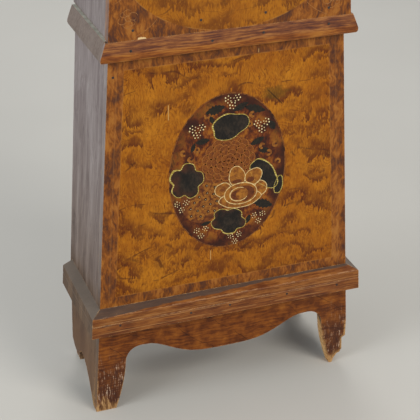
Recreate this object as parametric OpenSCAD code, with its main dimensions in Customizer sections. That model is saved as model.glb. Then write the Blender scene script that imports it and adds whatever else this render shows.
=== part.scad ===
// Tall-case clock: painted pine case with a tapered base and trunk, a sliding hood,
// and a two-weight pendulum movement. Millimetres, +X right, +Y back, +Z up.

/* [Base] */
// Half of the base's width at the floor
base_half = 250; // [240:1:260]
// Inward lean of each side, per millimetre of height
taper = 0.066; // [0.060:0.001:0.068]
// Depth of the base, front board to back edge
base_depth = 199; // [199:1:215]
// Height of the base's top edge
base_h = 707; // [700:1:715]
// Thickness of the front boards
front_t = 18; // [17:0.5:19]
// Thickness of the side boards
side_t = 16; // [14:0.5:17]
// Thickness of the back board
back_t = 12; // [9:0.5:14]
// Height of the apron's lower edge at its middle
apron_mid = 88.5; // [80:0.5:95]
// Height of the apron's two high points
apron_peak = 126; // [120:0.5:130]
// Height of the lower edge of the plinth moulding
plinth_z = 169; // [165:1:175]
// How far the plinth moulding stands out
plinth_out = 18; // [12:0.5:20]

/* [Trunk] */
// Half of the trunk front's width at its foot
trunk_half = 209; // [206:0.5:212]
// How far the trunk's front stands out beyond the base's front
trunk_out = 16.3; // [14:0.1:17]
// Height of the trunk's top, where the hood sits
trunk_top = 1650; // [1640:1:1660]
// Height of the bottom of the door opening
door_low = 800; // [795:1:810]
// Height of the top of the door opening
door_high = 1560; // [1550:1:1570]
// Width of the door's stiles
stile_w = 46; // [40:1:50]
// Gap round the door
door_gap = 2; // [1.5:0.1:2.5]
// Radius of the round window in the door
window_r = 68; // [60:1:72]

/* [Hood] */
// Half of the hood's width
hood_half = 190; // [186:1:200]
// Height of the hood's boards
hood_h = 406; // [400:1:412]
// How far the cornice stands out
cornice_out = 40; // [30:1:45]
// Radius of the opening in front of the dial
mask_r = 119; // [116:0.5:121]

/* [Movement] */
// Height of the hands' arbor
dial_z = 1852; // [1850:1:1854]
// Radius of the dial
dial_r = 128; // [124:1:130]
// Length of the pendulum, pivot to bob centre
pendulum_l = 994; // [990:1:996]
// Radius of the pendulum bob
bob_r = 62; // [50:1:64]
// Radius of the driving weights
weight_r = 30; // [26:0.5:31]
// Length of the driving weights
weight_l = 190; // [150:1:200]

/* [Hidden] */
$fn = 72;

// ---- places shared by several pieces ----
// Depths are measured from the base's front plane, positive towards the back.
hood_front_v = -20;
hood_reach = cornice_out - hood_front_v;
back_y = (base_depth + hood_reach) / 2;
front_y = back_y - base_depth;
function y(v) = front_y + v;
trunk_v = -trunk_out;
trunk_back_v = trunk_v + front_t;
board_v = base_depth - back_t;

function base_w(z) = base_half - taper * z;
function trunk_w(z) = trunk_half - taper * (z - base_h);
side_set = 2;
function trunk_side_w(z) = trunk_w(z) - side_set;
function opening_w(z) = trunk_w(z) - stile_w;
function door_w(z) = opening_w(z) - door_gap;

waist_z = base_h - 34.5;
band_h = 39;
throat_z = trunk_top - 50;
seat_z = trunk_top + 72;
seat_t = 18;
movement_z = seat_z + seat_t;
hood_top_z = trunk_top + hood_h;
cornice_z = hood_top_z - 32;
cornice_top = hood_top_z + 36;

// Planes of the movement, front to back
mask_t = 12;
dial_v = -7;
front_plate_v = 16;
back_plate_v = 79;
plate_t = 3;
plate_half = 75;
plate_top = dial_z + 76;
drum_v = 52;
pallet_z = dial_z + 58;
rod_v = 106;
bob_z = pallet_z - pendulum_l;
pivot_play = 0.06;

// Wheels: teeth, module and where each arbor stands from the hands' arbor
great_teeth = 96;
centre_pinion = 8;
great_mod = 0.7;
centre_teeth = 64;
leaf_teeth = 8;
centre_mod = 0.6;
third_teeth = 60;
third_mod = 0.55;
drum_x = 27;
great_dist = great_mod * (great_teeth + centre_pinion) / 2;
drum_z = -sqrt(great_dist * great_dist - drum_x * drum_x);
third_dist = centre_mod * (centre_teeth + leaf_teeth) / 2;
third_angle = 120;
third_at = [third_dist * cos(third_angle), third_dist * sin(third_angle)];
escape_dist = third_mod * (third_teeth + leaf_teeth) / 2;
escape_at = [0, third_at[1] + sqrt(escape_dist * escape_dist - third_at[0] * third_at[0])];
escape_r = 17;
cannon_teeth = 30;
minute_teeth = 90;
hour_pinion = 12;
hour_teeth = 48;
cannon_mod = 0.4;
motion_dist = cannon_mod * (cannon_teeth + minute_teeth) / 2;
hour_mod = 2 * motion_dist / (hour_teeth + hour_pinion);
drum_r = 20;
line_r = 1;
line_gap = 0.3;
line_x = drum_x + drum_r + line_gap + line_r;
time_weight_z = 1290;
strike_weight_z = 1210;
hook_h = 16;

// ---- helpers ----
// Extrudes an (x, z) outline from depth v0 to depth v1
module front_cut(v0, v1)
    translate([0, y(v1), 0]) rotate([90, 0, 0]) linear_extrude(v1 - v0) children();

// Extrudes a (depth, z) outline from x0 to x1
module side_cut(x0, x1)
    translate([x0, front_y, 0]) rotate([90, 0, 90]) linear_extrude(x1 - x0) children();

// Extrudes or turns about a front-to-back axis at (x, z); profiles are (radius, depth)
module arbor_rod(x, z, r, v0, v1)
    translate([x, y(v1), z]) rotate([90, 0, 0]) cylinder(r = r, h = v1 - v0);

module turned(x, z, v)
    translate([x, y(v), z]) rotate([-90, 0, 0]) rotate_extrude() children();

module box(x0, x1, v0, v1, z0, z1)
    translate([x0, y(v0), z0]) cube([x1 - x0, v1 - v0, z1 - z0]);

// Everything on the far side of a plane through point, along normal
module half_space(point, normal) {
    reach = 700;
    n = norm(normal);
    translate(point) rotate([0, -asin(normal[2] / n), atan2(normal[1], normal[0])])
        translate([0, -reach, -3 * reach]) cube([2 * reach, 2 * reach, 6 * reach]);
}

// A slanted board: x from outer to inner faces at the two heights
module slab(outer0, outer1, t, z0, z1)
    polygon([[outer0, z0], [outer1, z1], [outer1 - t, z1], [outer0 - t, z0]]);

// Gear teeth as an outline; tooth 0 points along start
module gear_outline(teeth, mod, start, add, ded, pitch_share, tip_share) {
    r = teeth * mod / 2;
    step = 360 / teeth;
    polygon([for (i = [0 : teeth - 1], p = [
            [r - ded, -0.5 * pitch_share], [r, -0.5 * pitch_share], [r + add, -0.5 * tip_share],
            [r + add, 0.5 * tip_share], [r, 0.5 * pitch_share], [r - ded, 0.5 * pitch_share]])
        let (a = start + (i + p[1]) * step) [p[0] * cos(a), p[0] * sin(a)]]);
}

module wheel_outline(teeth, mod, start)
    gear_outline(teeth, mod, start, 0.85 * mod, 1.2 * mod, 0.44, 0.16);

module pinion_outline(teeth, mod, start)
    gear_outline(teeth, mod, start, 0.55 * mod, 1.2 * mod, 0.36, 0.18);

// Crossings: a rim, a hub and straight spokes, left by cutting windows
module crossings(hub_r, rim_r, spokes, spoke_w)
    difference() {
        circle(r = rim_r);
        circle(r = hub_r);
        for (i = [0 : spokes - 1]) rotate(i * 360 / spokes)
            translate([0, -spoke_w / 2]) square([rim_r + 1, spoke_w]);
    }

// ---- base ----
foot_in = 213;
foot_arc_x = 163;
foot_arc_z = 97;
foot_arc_r = 29;
apron_x = 152;
function apron_z(x) = apron_mid
    + (apron_peak - apron_mid) * (1 - cos(180 * pow(x / apron_x, 1.8))) / 2;

// Right half of the arch under the apron
function arch_half() = concat(
    [for (x = [0 : 12 : apron_x]) [x, apron_z(x)]],
    [for (a = [90 : -15 : 0]) [foot_arc_x + foot_arc_r * cos(a),
        foot_arc_z + (apron_peak - foot_arc_z) * sin(a)]],
    [for (t = [0.8 : -0.2 : 0]) [foot_arc_x + foot_arc_r
        + (foot_in - foot_arc_x - foot_arc_r) * pow(1 - t, 1.6), foot_arc_z * t]],
    [[foot_in, -1]]);

module apron_arch() {
    polygon(concat(arch_half(), [[0, -1]]));
    mirror([1, 0]) polygon(concat(arch_half(), [[0, -1]]));
}

// The right front foot is worn away from its outer edge
module foot_wear() {
    polygon([[foot_in + 5, -1], [foot_in + 8, 8], [foot_in + 15, 18], [foot_in + 21, 20],
        [foot_in + 25, 27], [foot_in + 24, 52], [foot_in + 31, 56], [base_w(90), 90],
        [base_half + 5, 90], [base_half + 5, -1]]);
}

module base_front()
    color("#a8691a") front_cut(0, front_t) difference() {
        polygon([[-base_w(0), 0], [base_w(0), 0],
            [base_w(base_h), base_h], [-base_w(base_h), base_h]]);
        apron_arch();
        foot_wear();
    }

side_arch_z = 62;
side_arch_v = 108;
side_foot_v = 22;
back_foot_v = 140;
rear_tip_v = 141;
wear_h = 55;
wear_t = 11;
left_rear_z = 22;
right_rear_z = 34;

// Lower end of a side board seen from the side: an arch between two feet
module side_outline()
    polygon(concat(
        [[front_t, base_h], [front_t, 0], [side_foot_v, 0]],
        [for (t = [0.2 : 0.2 : 1])
            [side_foot_v + (side_arch_v - side_foot_v) * t, side_arch_z * sin(90 * t)]],
        [for (t = [0.8 : -0.2 : 0])
            [back_foot_v - (back_foot_v - side_arch_v) * t, side_arch_z * pow(t, 0.3)]],
        [[164, 0], [172, 43], [186, 129], [base_depth, plinth_z], [base_depth, base_h]]));

// The rear foot stops rear_z above the floor, bevelled on its outer face
module base_side(rear_z)
    color("#6f6663") difference() {
        intersection() {
            side_cut(base_w(base_h) - side_t - 1, base_half + 1) side_outline();
            front_cut(0, base_depth) slab(base_w(0), base_w(base_h), side_t, 0, base_h);
        }
        front_cut(back_foot_v - 20, base_depth)
            polygon([[base_half - wear_t, -1], [base_w(wear_h), wear_h],
                [base_half + 5, wear_h], [base_half + 5, -1]]);
        side_cut(base_w(base_h) - side_t, base_half + 5)
            polygon([[rear_tip_v - 21, -1], [rear_tip_v - 21, rear_z + 16], [rear_tip_v, rear_z],
                [rear_tip_v + 33, rear_z + 14], [base_depth, rear_z + 14], [base_depth, -1]]);
    }

module base_side_right() color("#6f6663") difference() {
    base_side(right_rear_z);
    front_cut(front_t - 1, side_arch_v) foot_wear();
}
module base_side_left() mirror([1, 0, 0]) base_side(left_rear_z);

floor_z = 135;
floor_t = 18;

module base_floor()
    color("#b08a5a") front_cut(front_t, board_v)
        polygon([[-base_w(floor_z) + side_t, floor_z], [base_w(floor_z) - side_t, floor_z],
            [base_w(floor_z + floor_t) - side_t, floor_z + floor_t],
            [-base_w(floor_z + floor_t) + side_t, floor_z + floor_t]]);

ear_half = hood_half - side_t - 2;
ear_top = hood_top_z - 6;
back_arch_h = 70;
back_arch_half = foot_in - 20;
plank_w = 133;
seam_w = 1.2;
seam_depth = 1.5;

// One board from the floor to the hood, with ears where the hood is wider than the trunk.
// Its rear face is scored where the planks it is glued up from meet.
module back_board()
    color("#7a5c3a") difference() {
        front_cut(board_v, base_depth) difference() {
            polygon([[-base_w(0) + side_t, 0], [base_w(0) - side_t, 0],
                [base_w(base_h) - side_t, base_h], [trunk_side_w(base_h) - side_t, base_h],
                [trunk_side_w(trunk_top) - side_t, trunk_top], [ear_half, trunk_top],
                [ear_half, ear_top], [-ear_half, ear_top], [-ear_half, trunk_top],
                [-trunk_side_w(trunk_top) + side_t, trunk_top],
                [-trunk_side_w(base_h) + side_t, base_h], [-base_w(base_h) + side_t, base_h]]);
            translate([-back_arch_half, -1]) square([2 * back_arch_half, back_arch_h + 1]);
        }
        for (x = [-plank_w / 2, plank_w / 2])
            box(x - seam_w / 2, x + seam_w / 2, base_depth - seam_depth, base_depth + 1, -1, ear_top + 1);
    }

// ---- mouldings ----
// Profile points are [out at the sides, out at the front, height], from the bottom up.
plinth_profile = [[0, 0, plinth_z], [plinth_out, plinth_out, plinth_z],
    [plinth_out, plinth_out, plinth_z + 22], [plinth_out - 1, plinth_out - 1, plinth_z + 23],
    [plinth_out, plinth_out, plinth_z + 24], [plinth_out, plinth_out, plinth_z + band_h - 1],
    [plinth_out - 1, plinth_out - 1, plinth_z + band_h], [0, 0, plinth_z + band_h + 8]];
waist_profile = [[0, 0, waist_z], [13.5, 14, waist_z], [16, 16.6, waist_z + 1.5],
    [17.6, 18.4, waist_z + 5], [17.6, 19.4, waist_z + 10], [16, 19.4, waist_z + 15], [13, 18, waist_z + 25],
    [9.8, trunk_out, base_h], [0, 0, base_h]];
cove_steps = 8;
throat_out = hood_half + 6 - trunk_w(trunk_top);
throat_profile = concat([[0, 0, throat_z], [5, 5, throat_z], [5, 5, throat_z + 5]],
    [for (i = [0 : cove_steps]) let (a = 90 * i / cove_steps)
        [8 + (throat_out - 12) * (1 - cos(a)), 8 + 20 * (1 - cos(a)), throat_z + 5 + 33 * sin(a)]],
    [[throat_out, 32, throat_z + 38], [throat_out, 32, trunk_top], [0, 0, trunk_top]]);
cove_out = cornice_out - 21;
cornice_profile = concat([[0, 0, cornice_z], [18, 18, cornice_z], [18, 18, cornice_z + 14],
        [21, 21, cornice_z + 14], [21, 21, cornice_z + 19]],
    [for (i = [0 : cove_steps]) let (a = 90 * i / cove_steps)
        [21 + cove_out * (1 - cos(a)), 21 + cove_out * (1 - cos(a)), cornice_z + 19 + 32 * sin(a)]],
    [[cornice_out, cornice_out, cornice_top], [0, 0, cornice_top]]);

function outline_left(profile, w0, lean) = [for (p = profile) [-(w0 - lean * p[2]) - p[0], p[2]]];
function mirrored(points) = [for (i = [len(points) - 1 : -1 : 0]) [-points[i][0], points[i][1]]];

// A moulding round the front and both sides of a case whose half width is w0 - lean * z
module moulding_ring(profile, w0, lean, front_v, stop_v) {
    left = outline_left(profile, w0, lean);
    z0 = profile[0][2];
    z1 = profile[len(profile) - 1][2];
    difference() {
        intersection() {
            front_cut(front_v - 60, stop_v) polygon(concat(left, mirrored(left)));
            side_cut(-400, 400) polygon(concat([for (p = profile) [front_v - p[1], p[2]]],
                [[base_depth + 1, z1], [base_depth + 1, z0]]));
        }
        front_cut(front_v, base_depth + 1)
            polygon([[-(w0 - lean * (z0 - 1)), z0 - 1], [w0 - lean * (z0 - 1), z0 - 1],
                [w0 - lean * (z1 + 1), z1 + 1], [-(w0 - lean * (z1 + 1)), z1 + 1]]);
    }
}

// The side of the left mitre that the left return lies on
module left_mitre(w0, lean, front_v)
    half_space([-w0, y(front_v), 0], [-1, 1, lean]);

// The run across the front of the base, between its two mitres
module front_run(profile)
    difference() {
        side_cut(-base_half - plinth_out, base_half + plinth_out)
            polygon([for (p = profile) [-p[1], p[2]]]);
        left_mitre(base_half, taper, 0);
        mirror([1, 0, 0]) left_mitre(base_half, taper, 0);
    }

// The run along one side of the base, from its mitre to the back
return_stop = base_depth - 13;
module left_return(profile)
    intersection() {
        front_cut(-plinth_out - 5, return_stop) polygon(outline_left(profile, base_half, taper));
        left_mitre(base_half, taper, 0);
    }

module both_returns(profile) {
    left_return(profile);
    mirror([1, 0, 0]) left_return(profile);
}

// The waist's front run is trimmed at its ends to the slimmer profile of the returns
module waist_trim() {
    left = [for (i = [1 : len(waist_profile) - 2]) let (p = waist_profile[i])
        [-base_w(p[2]) - p[0], p[2]]];
    low = [[left[0][0], waist_z - 1]];
    high = [[left[len(left) - 1][0], base_h + 1]];
    all_left = concat(low, left, high);
    front_cut(-plinth_out - 5, 1) polygon(concat(all_left, mirrored(all_left)));
}

module plinth_moulding_front() color("#5b3a1c") front_run(plinth_profile);
module plinth_moulding_returns() color("#5d5049") both_returns(plinth_profile);
module waist_moulding_front()
    color("#6e431d") intersection() {
        front_run(waist_profile);
        waist_trim();
    }
module waist_moulding_returns() color("#6f6663") both_returns(waist_profile);

trunk_half0 = trunk_half + taper * base_h;
module throat_moulding()
    color("#6e431d") difference() {
        moulding_ring(throat_profile, trunk_half0, taper, trunk_v, base_depth);
        front_cut(trunk_back_v, base_depth + 1)
            polygon([[-trunk_w(throat_z - 1), throat_z - 1], [trunk_w(throat_z - 1), throat_z - 1],
                [trunk_w(trunk_top + 1), trunk_top + 1], [-trunk_w(trunk_top + 1), trunk_top + 1]]);
    }

module cornice()
    color("#5b3a1c") moulding_ring(cornice_profile, hood_half, 0, hood_front_v, base_depth);

// ---- trunk ----
module trunk_piece(z0, z1, in0, in1)
    front_cut(trunk_v, trunk_back_v)
        polygon([[trunk_w(z0), z0], [trunk_w(z1), z1], [in1, z1], [in0, z0]]);

module trunk_rail_lower()
    color("#b5761f") trunk_piece(base_h, door_low, -trunk_w(base_h), -trunk_w(door_low));
module trunk_rail_upper()
    color("#b5761f") trunk_piece(door_high, trunk_top, -trunk_w(door_high), -trunk_w(trunk_top));
module trunk_stile_right()
    color("#b5761f") trunk_piece(door_low, door_high, opening_w(door_low), opening_w(door_high));
module trunk_stile_left() mirror([1, 0, 0]) trunk_stile_right();

cheek_v = 10;
cheek_back_v = 96;

// A trunk side runs up past the hood's foot as a cheek that carries the seat board
module trunk_side()
    color("#6f6663") intersection() {
        side_cut(0, trunk_half) polygon([
            [trunk_back_v, base_h], [base_depth, base_h], [base_depth, trunk_top],
            [cheek_back_v, trunk_top], [cheek_back_v, seat_z], [cheek_v, seat_z],
            [cheek_v, trunk_top], [trunk_back_v, trunk_top]]);
        front_cut(0, base_depth + 1)
            slab(trunk_side_w(base_h - 1), trunk_side_w(seat_z + 1), side_t, base_h - 1, seat_z + 1);
    }
module trunk_side_right() trunk_side();
module trunk_side_left() mirror([1, 0, 0]) trunk_side();

line_hole_r = 6;
module seat_board()
    color("#b08a5a") difference() {
        box(-trunk_side_w(seat_z), trunk_side_w(seat_z), cheek_v, cheek_back_v, seat_z, movement_z);
        for (x = [-line_x, line_x])
            translate([x, y(drum_v), seat_z - 1]) cylinder(r = line_hole_r, h = seat_t + 2);
    }

// ---- hinges ----
knuckle_r = 3.5;
pin_r = 1.5;
leaf_t = 1.6;
leaf_w = 22;
knuckle_l = 18;
hinge_play = 0.4;

// A knuckle hinge on the z axis. The case's leaf runs towards +X, the door's towards -X,
// both with their back on the plane y = seat. The pin is the case's.
module hinge_leaf(dir, z0, z1, seat)
    translate([dir > 0 ? 0 : -leaf_w, seat - leaf_t, z0]) cube([leaf_w, leaf_t, z1 - z0]);

module hinge_case(seat) {
    for (z = [knuckle_l / 2 + hinge_play, -1.5 * knuckle_l - hinge_play])
        translate([0, 0, z]) difference() {
            union() {
                cylinder(r = knuckle_r, h = knuckle_l);
                hinge_leaf(1, 0, knuckle_l, seat);
            }
            translate([0, 0, -1]) cylinder(r = pin_r + pivot_play, h = knuckle_l + 2);
        }
    translate([0, 0, -1.5 * knuckle_l - 3]) cylinder(r = pin_r, h = 3 * knuckle_l + 6);
    for (s = [-1, 1]) translate([0, 0, s * (1.5 * knuckle_l + 2.4)]) sphere(r = 2.6);
}

module hinge_door(seat)
    difference() {
        union() {
            translate([0, 0, -knuckle_l / 2]) cylinder(r = knuckle_r, h = knuckle_l);
            hinge_leaf(-1, -knuckle_l / 2, knuckle_l / 2, seat);
        }
        translate([0, 0, -knuckle_l]) cylinder(r = pin_r + pivot_play, h = 2 * knuckle_l);
    }

door_axis_out = 4;
hinge_zs = [door_low + 110, door_high - 110];
function hinge_x(z) = opening_w(z) - door_gap / 2;

module on_door_hinges()
    for (z = hinge_zs) translate([hinge_x(z), y(trunk_v - door_axis_out), z])
        rotate([0, -atan(taper), 0]) children();

module door_hinge_plates() color("#3d3934") on_door_hinges() hinge_case(door_axis_out);
module door_hinge_leaves() color("#3d3934") on_door_hinges() hinge_door(door_axis_out);

// ---- trunk door ----
glass_t = 3;
rebate = 6;
module trunk_door()
    color("#b5761f") difference() {
        front_cut(trunk_v, trunk_back_v)
            polygon([[-door_w(door_low + door_gap), door_low + door_gap],
                [door_w(door_low + door_gap), door_low + door_gap],
                [door_w(door_high - door_gap), door_high - door_gap],
                [-door_w(door_high - door_gap), door_high - door_gap]]);
        arbor_rod(0, bob_z, window_r, trunk_v - 1, trunk_back_v + 1);
        arbor_rod(0, bob_z, window_r + rebate, trunk_back_v - rebate, trunk_back_v + 1);
        arbor_rod(-key_x, lock_z, key_r + 0.3, trunk_v - 1, trunk_back_v + 1);
    }

// Turned ring round the window, half round in section
bead_w = 12;
module door_bead()
    color("#6b4a1c") turned(0, bob_z, trunk_v) intersection() {
        translate([window_r + bead_w / 2, 0]) circle(r = bead_w / 2);
        translate([window_r, -bead_w]) square([bead_w, bead_w]);
    }

module door_glass()
    color("#c9d6d3", 0.35)
        arbor_rod(0, bob_z, window_r + rebate - 0.5,
            trunk_back_v - rebate, trunk_back_v - rebate + glass_t);

lock_z = 1200;
lock_t = 11;
lock_h = 60;
lock_w = 50;
lock_edge = door_w(lock_z) - 2;
key_x = lock_edge - 25;
key_r = 3;
bolt_h = 10;
bolt_t = 4;
bolt_throw = 10;
bolt_v = trunk_back_v + 4;
bolt_play = 0.4;

// Iron lock screwed to the door's back, and the brass escutcheon round its keyhole
module door_lock()
    color("#8a6a2e") {
        difference() {
            box(-lock_edge, -lock_edge + lock_w, trunk_back_v, trunk_back_v + lock_t,
                lock_z - lock_h / 2, lock_z + lock_h / 2);
            box(-lock_edge - 1, -lock_edge + lock_w - 4, bolt_v - bolt_play, bolt_v + bolt_t + bolt_play,
                lock_z - bolt_h - 5 - bolt_play, lock_z - 5 + bolt_play);
            arbor_rod(-key_x, lock_z, key_r + 0.3, trunk_back_v - 1, trunk_back_v + lock_t - 1.5);
        }
        front_cut(trunk_v - 1.2, trunk_v) difference() {
            union() {
                translate([-key_x, lock_z]) circle(r = 11);
                translate([-key_x, lock_z - 16]) circle(r = 7);
                translate([-key_x, lock_z + 16]) circle(r = 7);
            }
            translate([-key_x, lock_z]) circle(r = key_r + 0.4);
            for (s = [-1, 1]) translate([-key_x, lock_z + 17 * s]) circle(r = 1.2);
        }
    }

module lock_bolt()
    color("#6d6a66")
        box(-lock_edge + 0.5, -lock_edge + lock_w - 4 - bolt_throw, bolt_v, bolt_v + bolt_t,
            lock_z - bolt_h - 5, lock_z - 5);

bow_v = trunk_v - 24;
module door_key()
    color("#8d8a82") {
        arbor_rod(-key_x, lock_z, key_r, bow_v, trunk_back_v + lock_t - 2);
        arbor_rod(-key_x, lock_z, key_r + 1.5, trunk_v - 6, trunk_v - 2);
        translate([-key_x, y(bow_v - 8), lock_z]) rotate([0, 90, 0]) rotate_extrude()
            translate([8, 0]) circle(r = 2, $fn = 24);
    }

// ---- hood ----
module hood_side_right()
    color("#6f6663")
        box(hood_half - side_t, hood_half, hood_front_v, base_depth, trunk_top, hood_top_z);
module hood_side_left() mirror([1, 0, 0]) hood_side_right();

module hood_front()
    color("#7d4f1d") difference() {
        box(-hood_half + side_t, hood_half - side_t, hood_front_v, hood_front_v + mask_t,
            trunk_top, hood_top_z);
        arbor_rod(0, dial_z, mask_r, hood_front_v - 1, hood_front_v + mask_t + 1);
    }

hood_top_t = 16;
module hood_top()
    color("#6b5138")
        box(-hood_half, hood_half, hood_front_v, base_depth, hood_top_z, hood_top_z + hood_top_t);

hood_door_t = 18;
hood_door_gap = 0.4;
hood_door_v = hood_front_v - hood_door_gap - hood_door_t;
hood_pane_half = 132;
hood_pane_low = dial_z - 140;

module hood_pane(extra) {
    translate([0, dial_z]) circle(r = hood_pane_half + extra);
    translate([-hood_pane_half - extra, hood_pane_low - extra])
        square([2 * (hood_pane_half + extra), dial_z - hood_pane_low + extra]);
}

module hood_door()
    color("#7d4f1d") difference() {
        box(-hood_half, hood_half, hood_door_v, hood_door_v + hood_door_t, trunk_top + 2, cornice_z - 2);
        front_cut(hood_door_v - 1, hood_door_v + hood_door_t + 1) hood_pane(0);
        front_cut(hood_door_v + 10, hood_door_v + hood_door_t + 1) hood_pane(rebate);
        // a scratched bead round the opening
        front_cut(hood_door_v - 1, hood_door_v + 1.5) difference() {
            hood_pane(16);
            hood_pane(13);
        }
    }

module hood_glass()
    color("#c9d6d3", 0.35) front_cut(hood_door_v + 10, hood_door_v + 12.5) hood_pane(rebate - 0.5);

hood_axis_x = hood_half + 4;
hood_axis_v = hood_front_v - hood_door_gap / 2;
hood_hinge_zs = [trunk_top + 60, cornice_z - 60];

module on_hood_hinges()
    for (z = hood_hinge_zs) translate([hood_axis_x, y(hood_axis_v), z]) rotate([0, 0, 90]) children();

module hood_hinge_plates() color("#3d3934") on_hood_hinges() hinge_case(hood_axis_x - hood_half);
module hood_hinge_leaves() color("#3d3934") on_hood_hinges() hinge_door_short(hood_axis_x - hood_half);

// The door's leaf lies on the door's edge, so it is no wider than the door is thick
module hinge_door_short(seat)
    intersection() {
        hinge_door(seat);
        translate([-hood_door_t + 1, -20, -40]) cube([80, 40, 80]);
    }

knob_x = -hood_half + 22;
module hood_knob()
    color("#b08d3f") turned(knob_x, dial_z, hood_door_v)
        polygon([[0, 0], [7, 0], [7, -1.5], [3, -3], [2.6, -7],
            [5, -9], [7.5, -12], [7.5, -14], [5.5, -17], [0, -18]]);

// ---- movement, fixed pieces ----
hammer_at = [-52, 40];
stud_r = 1.4;
module plate_holes(v0) {
    holes = [[0, 0, arbor_r], [drum_x, drum_z, drum_arbor_r], [-drum_x, drum_z, drum_arbor_r],
        [third_at[0], third_at[1], leaf_arbor_r], [escape_at[0], escape_at[1], leaf_arbor_r],
        [hammer_at[0], hammer_at[1], leaf_arbor_r]];
    for (h = holes) arbor_rod(h[0], dial_z + h[1], h[2] + pivot_play, v0 - 1, v0 + plate_t + 1);
}
arbor_r = 2;
drum_arbor_r = 3;
leaf_arbor_r = 1.2;

module front_plate()
    color("#b8963e") {
        difference() {
            box(-plate_half, plate_half, front_plate_v, front_plate_v + plate_t, movement_z, plate_top);
            plate_holes(front_plate_v);
            arbor_rod(0, pallet_z, leaf_arbor_r + pivot_play,
                front_plate_v - 1, front_plate_v + plate_t + 1);
        }
        arbor_rod(0, dial_z - motion_dist, stud_r, 4, front_plate_v);
    }

module back_plate()
    color("#b8963e") difference() {
        box(-plate_half, plate_half, back_plate_v, back_plate_v + plate_t, movement_z, plate_top);
        plate_holes(back_plate_v);
        arbor_rod(0, pallet_z, 7, back_plate_v - 1, back_plate_v + plate_t + 1);
    }

pillar_r = 5;
pillar_mid_v = (front_plate_v + back_plate_v) / 2;
module plate_pillars()
    color("#c4a24a") for (x = [-plate_half + 9, plate_half - 9], z = [movement_z + 10, plate_top - 10]) {
        arbor_rod(x, z, pillar_r, front_plate_v + plate_t, back_plate_v);
        arbor_rod(x, z, pillar_r + 2, pillar_mid_v - 3, pillar_mid_v + 6);
    }

cock_v = 90;
slot_half = 0.9;
post_low = 0.6;
module back_cock()
    color("#b8963e") difference() {
        union() {
            for (x = [-22, 22])
                box(x - 4, x + 4, back_plate_v + plate_t, cock_v, pallet_z - 10, pallet_z + 12);
            box(-26, 26, cock_v, cock_v + plate_t, pallet_z - 10, pallet_z + 12);
            box(-7, 7, cock_v + plate_t, rod_v + 6, pallet_z + post_low, pallet_z + 12);
        }
        arbor_rod(0, pallet_z, leaf_arbor_r + pivot_play, cock_v - 1, cock_v + plate_t + 0.01);
        box(-slot_half, slot_half, rod_v - 6, rod_v + 7, pallet_z, pallet_z + 13);
    }

dial_t = 2.5;
module dial()
    color("#e9e4d2") {
        difference() {
            arbor_rod(0, dial_z, dial_r, dial_v, dial_v + dial_t);
            arbor_rod(0, dial_z, 7, dial_v - 1, dial_v + dial_t + 1);
            for (x = [-drum_x, drum_x])
                arbor_rod(x, dial_z + drum_z, 6.5, dial_v - 1, dial_v + dial_t + 1);
        }
        for (x = [-60, 60], z = [-90, 50]) arbor_rod(x, dial_z + z, 3, dial_v + dial_t, front_plate_v);
    }

bell_z = plate_top + 58;
bell_r = 36;
bell_t = 3;
bell_v = 50;
module bell()
    color("#a8a49a") {
        translate([0, y(bell_v), bell_z]) difference() {
            sphere(r = bell_r);
            sphere(r = bell_r - bell_t);
            translate([0, 0, -bell_r - 5]) cube([3 * bell_r, 3 * bell_r, 2 * bell_r + 10], center = true);
        }
        // iron stand screwed to the back plate, and the screw that holds the bell
        box(-5, 5, back_plate_v + plate_t, back_plate_v + plate_t + 3,
            plate_top - 6, bell_z + bell_r + 6);
        box(-5, 5, bell_v - 5, back_plate_v + plate_t, bell_z + bell_r + 3, bell_z + bell_r + 6);
        translate([0, y(bell_v), bell_z + bell_r - 8]) cylinder(r = 4, h = 12);
    }

// ---- movement, moving pieces ----
hammer_lift = 100;
hammer_gap = 2;
module hammer()
    color("#6d6a66") {
        arbor_rod(hammer_at[0], dial_z + hammer_at[1], leaf_arbor_r,
            front_plate_v, back_plate_v + plate_t);
        arbor_rod(hammer_at[0], dial_z + hammer_at[1], 4, bell_v - 3, bell_v + 3);
        box(hammer_at[0] - 1.2, hammer_at[0] + 1.2, bell_v - 1.2, bell_v + 1.2,
            dial_z + hammer_at[1] + 3, dial_z + hammer_at[1] + hammer_lift);
        translate([hammer_at[0] - 6, y(bell_v), dial_z + hammer_at[1] + hammer_lift])
            rotate([0, 90, 0]) cylinder(r = 6, h = 6 - hammer_at[0] - bell_r - hammer_gap);
    }

hand_t = 1.2;
hand_fit = 0.02;
minute_v = -15.5;
hour_v = -12;
minute_angle = 60;
hour_angle = 155;

// A hand drawn out along its own +X axis: a tapered blade, a pierced heart and a collet
module hand_outline(reach, heart, collet) {
    heart_x = reach * 0.62;
    blade_x = heart_x - heart * 0.8;
    difference() {
        union() {
            circle(r = collet);
            polygon([[0, -2.2], [blade_x, -1.4], [blade_x, 1.4], [0, 2.2]]);
            translate([heart_x, 0]) circle(r = heart);
            polygon([[heart_x, -heart * 0.8], [reach * 0.8, -1.6], [reach, 0],
                [reach * 0.8, 1.6], [heart_x, heart * 0.8]]);
        }
        translate([heart_x - heart * 0.25, 0]) circle(r = heart * 0.5);
    }
}

module minute_hand()
    color("#2b2a2c") translate([0, 0, dial_z]) front_cut(minute_v, minute_v + hand_t) difference() {
        rotate(minute_angle) hand_outline(104, 6, 5.5);
        circle(r = arbor_r + hand_fit);
    }

pipe_in = 3.2;
pipe_out = 4.6;
module hour_hand()
    color("#2b2a2c") translate([0, 0, dial_z]) front_cut(hour_v, hour_v + hand_t) difference() {
        rotate(hour_angle) hand_outline(74, 8, 7.5);
        circle(r = pipe_out + hand_fit);
    }

centre_pinion_v = 68;
centre_wheel_v = 74.5;
cannon_v = 10.5;
// Directions in which neighbouring arbors lie, seen from the centre arbor
great_dir = atan2(drum_z, drum_x);

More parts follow.
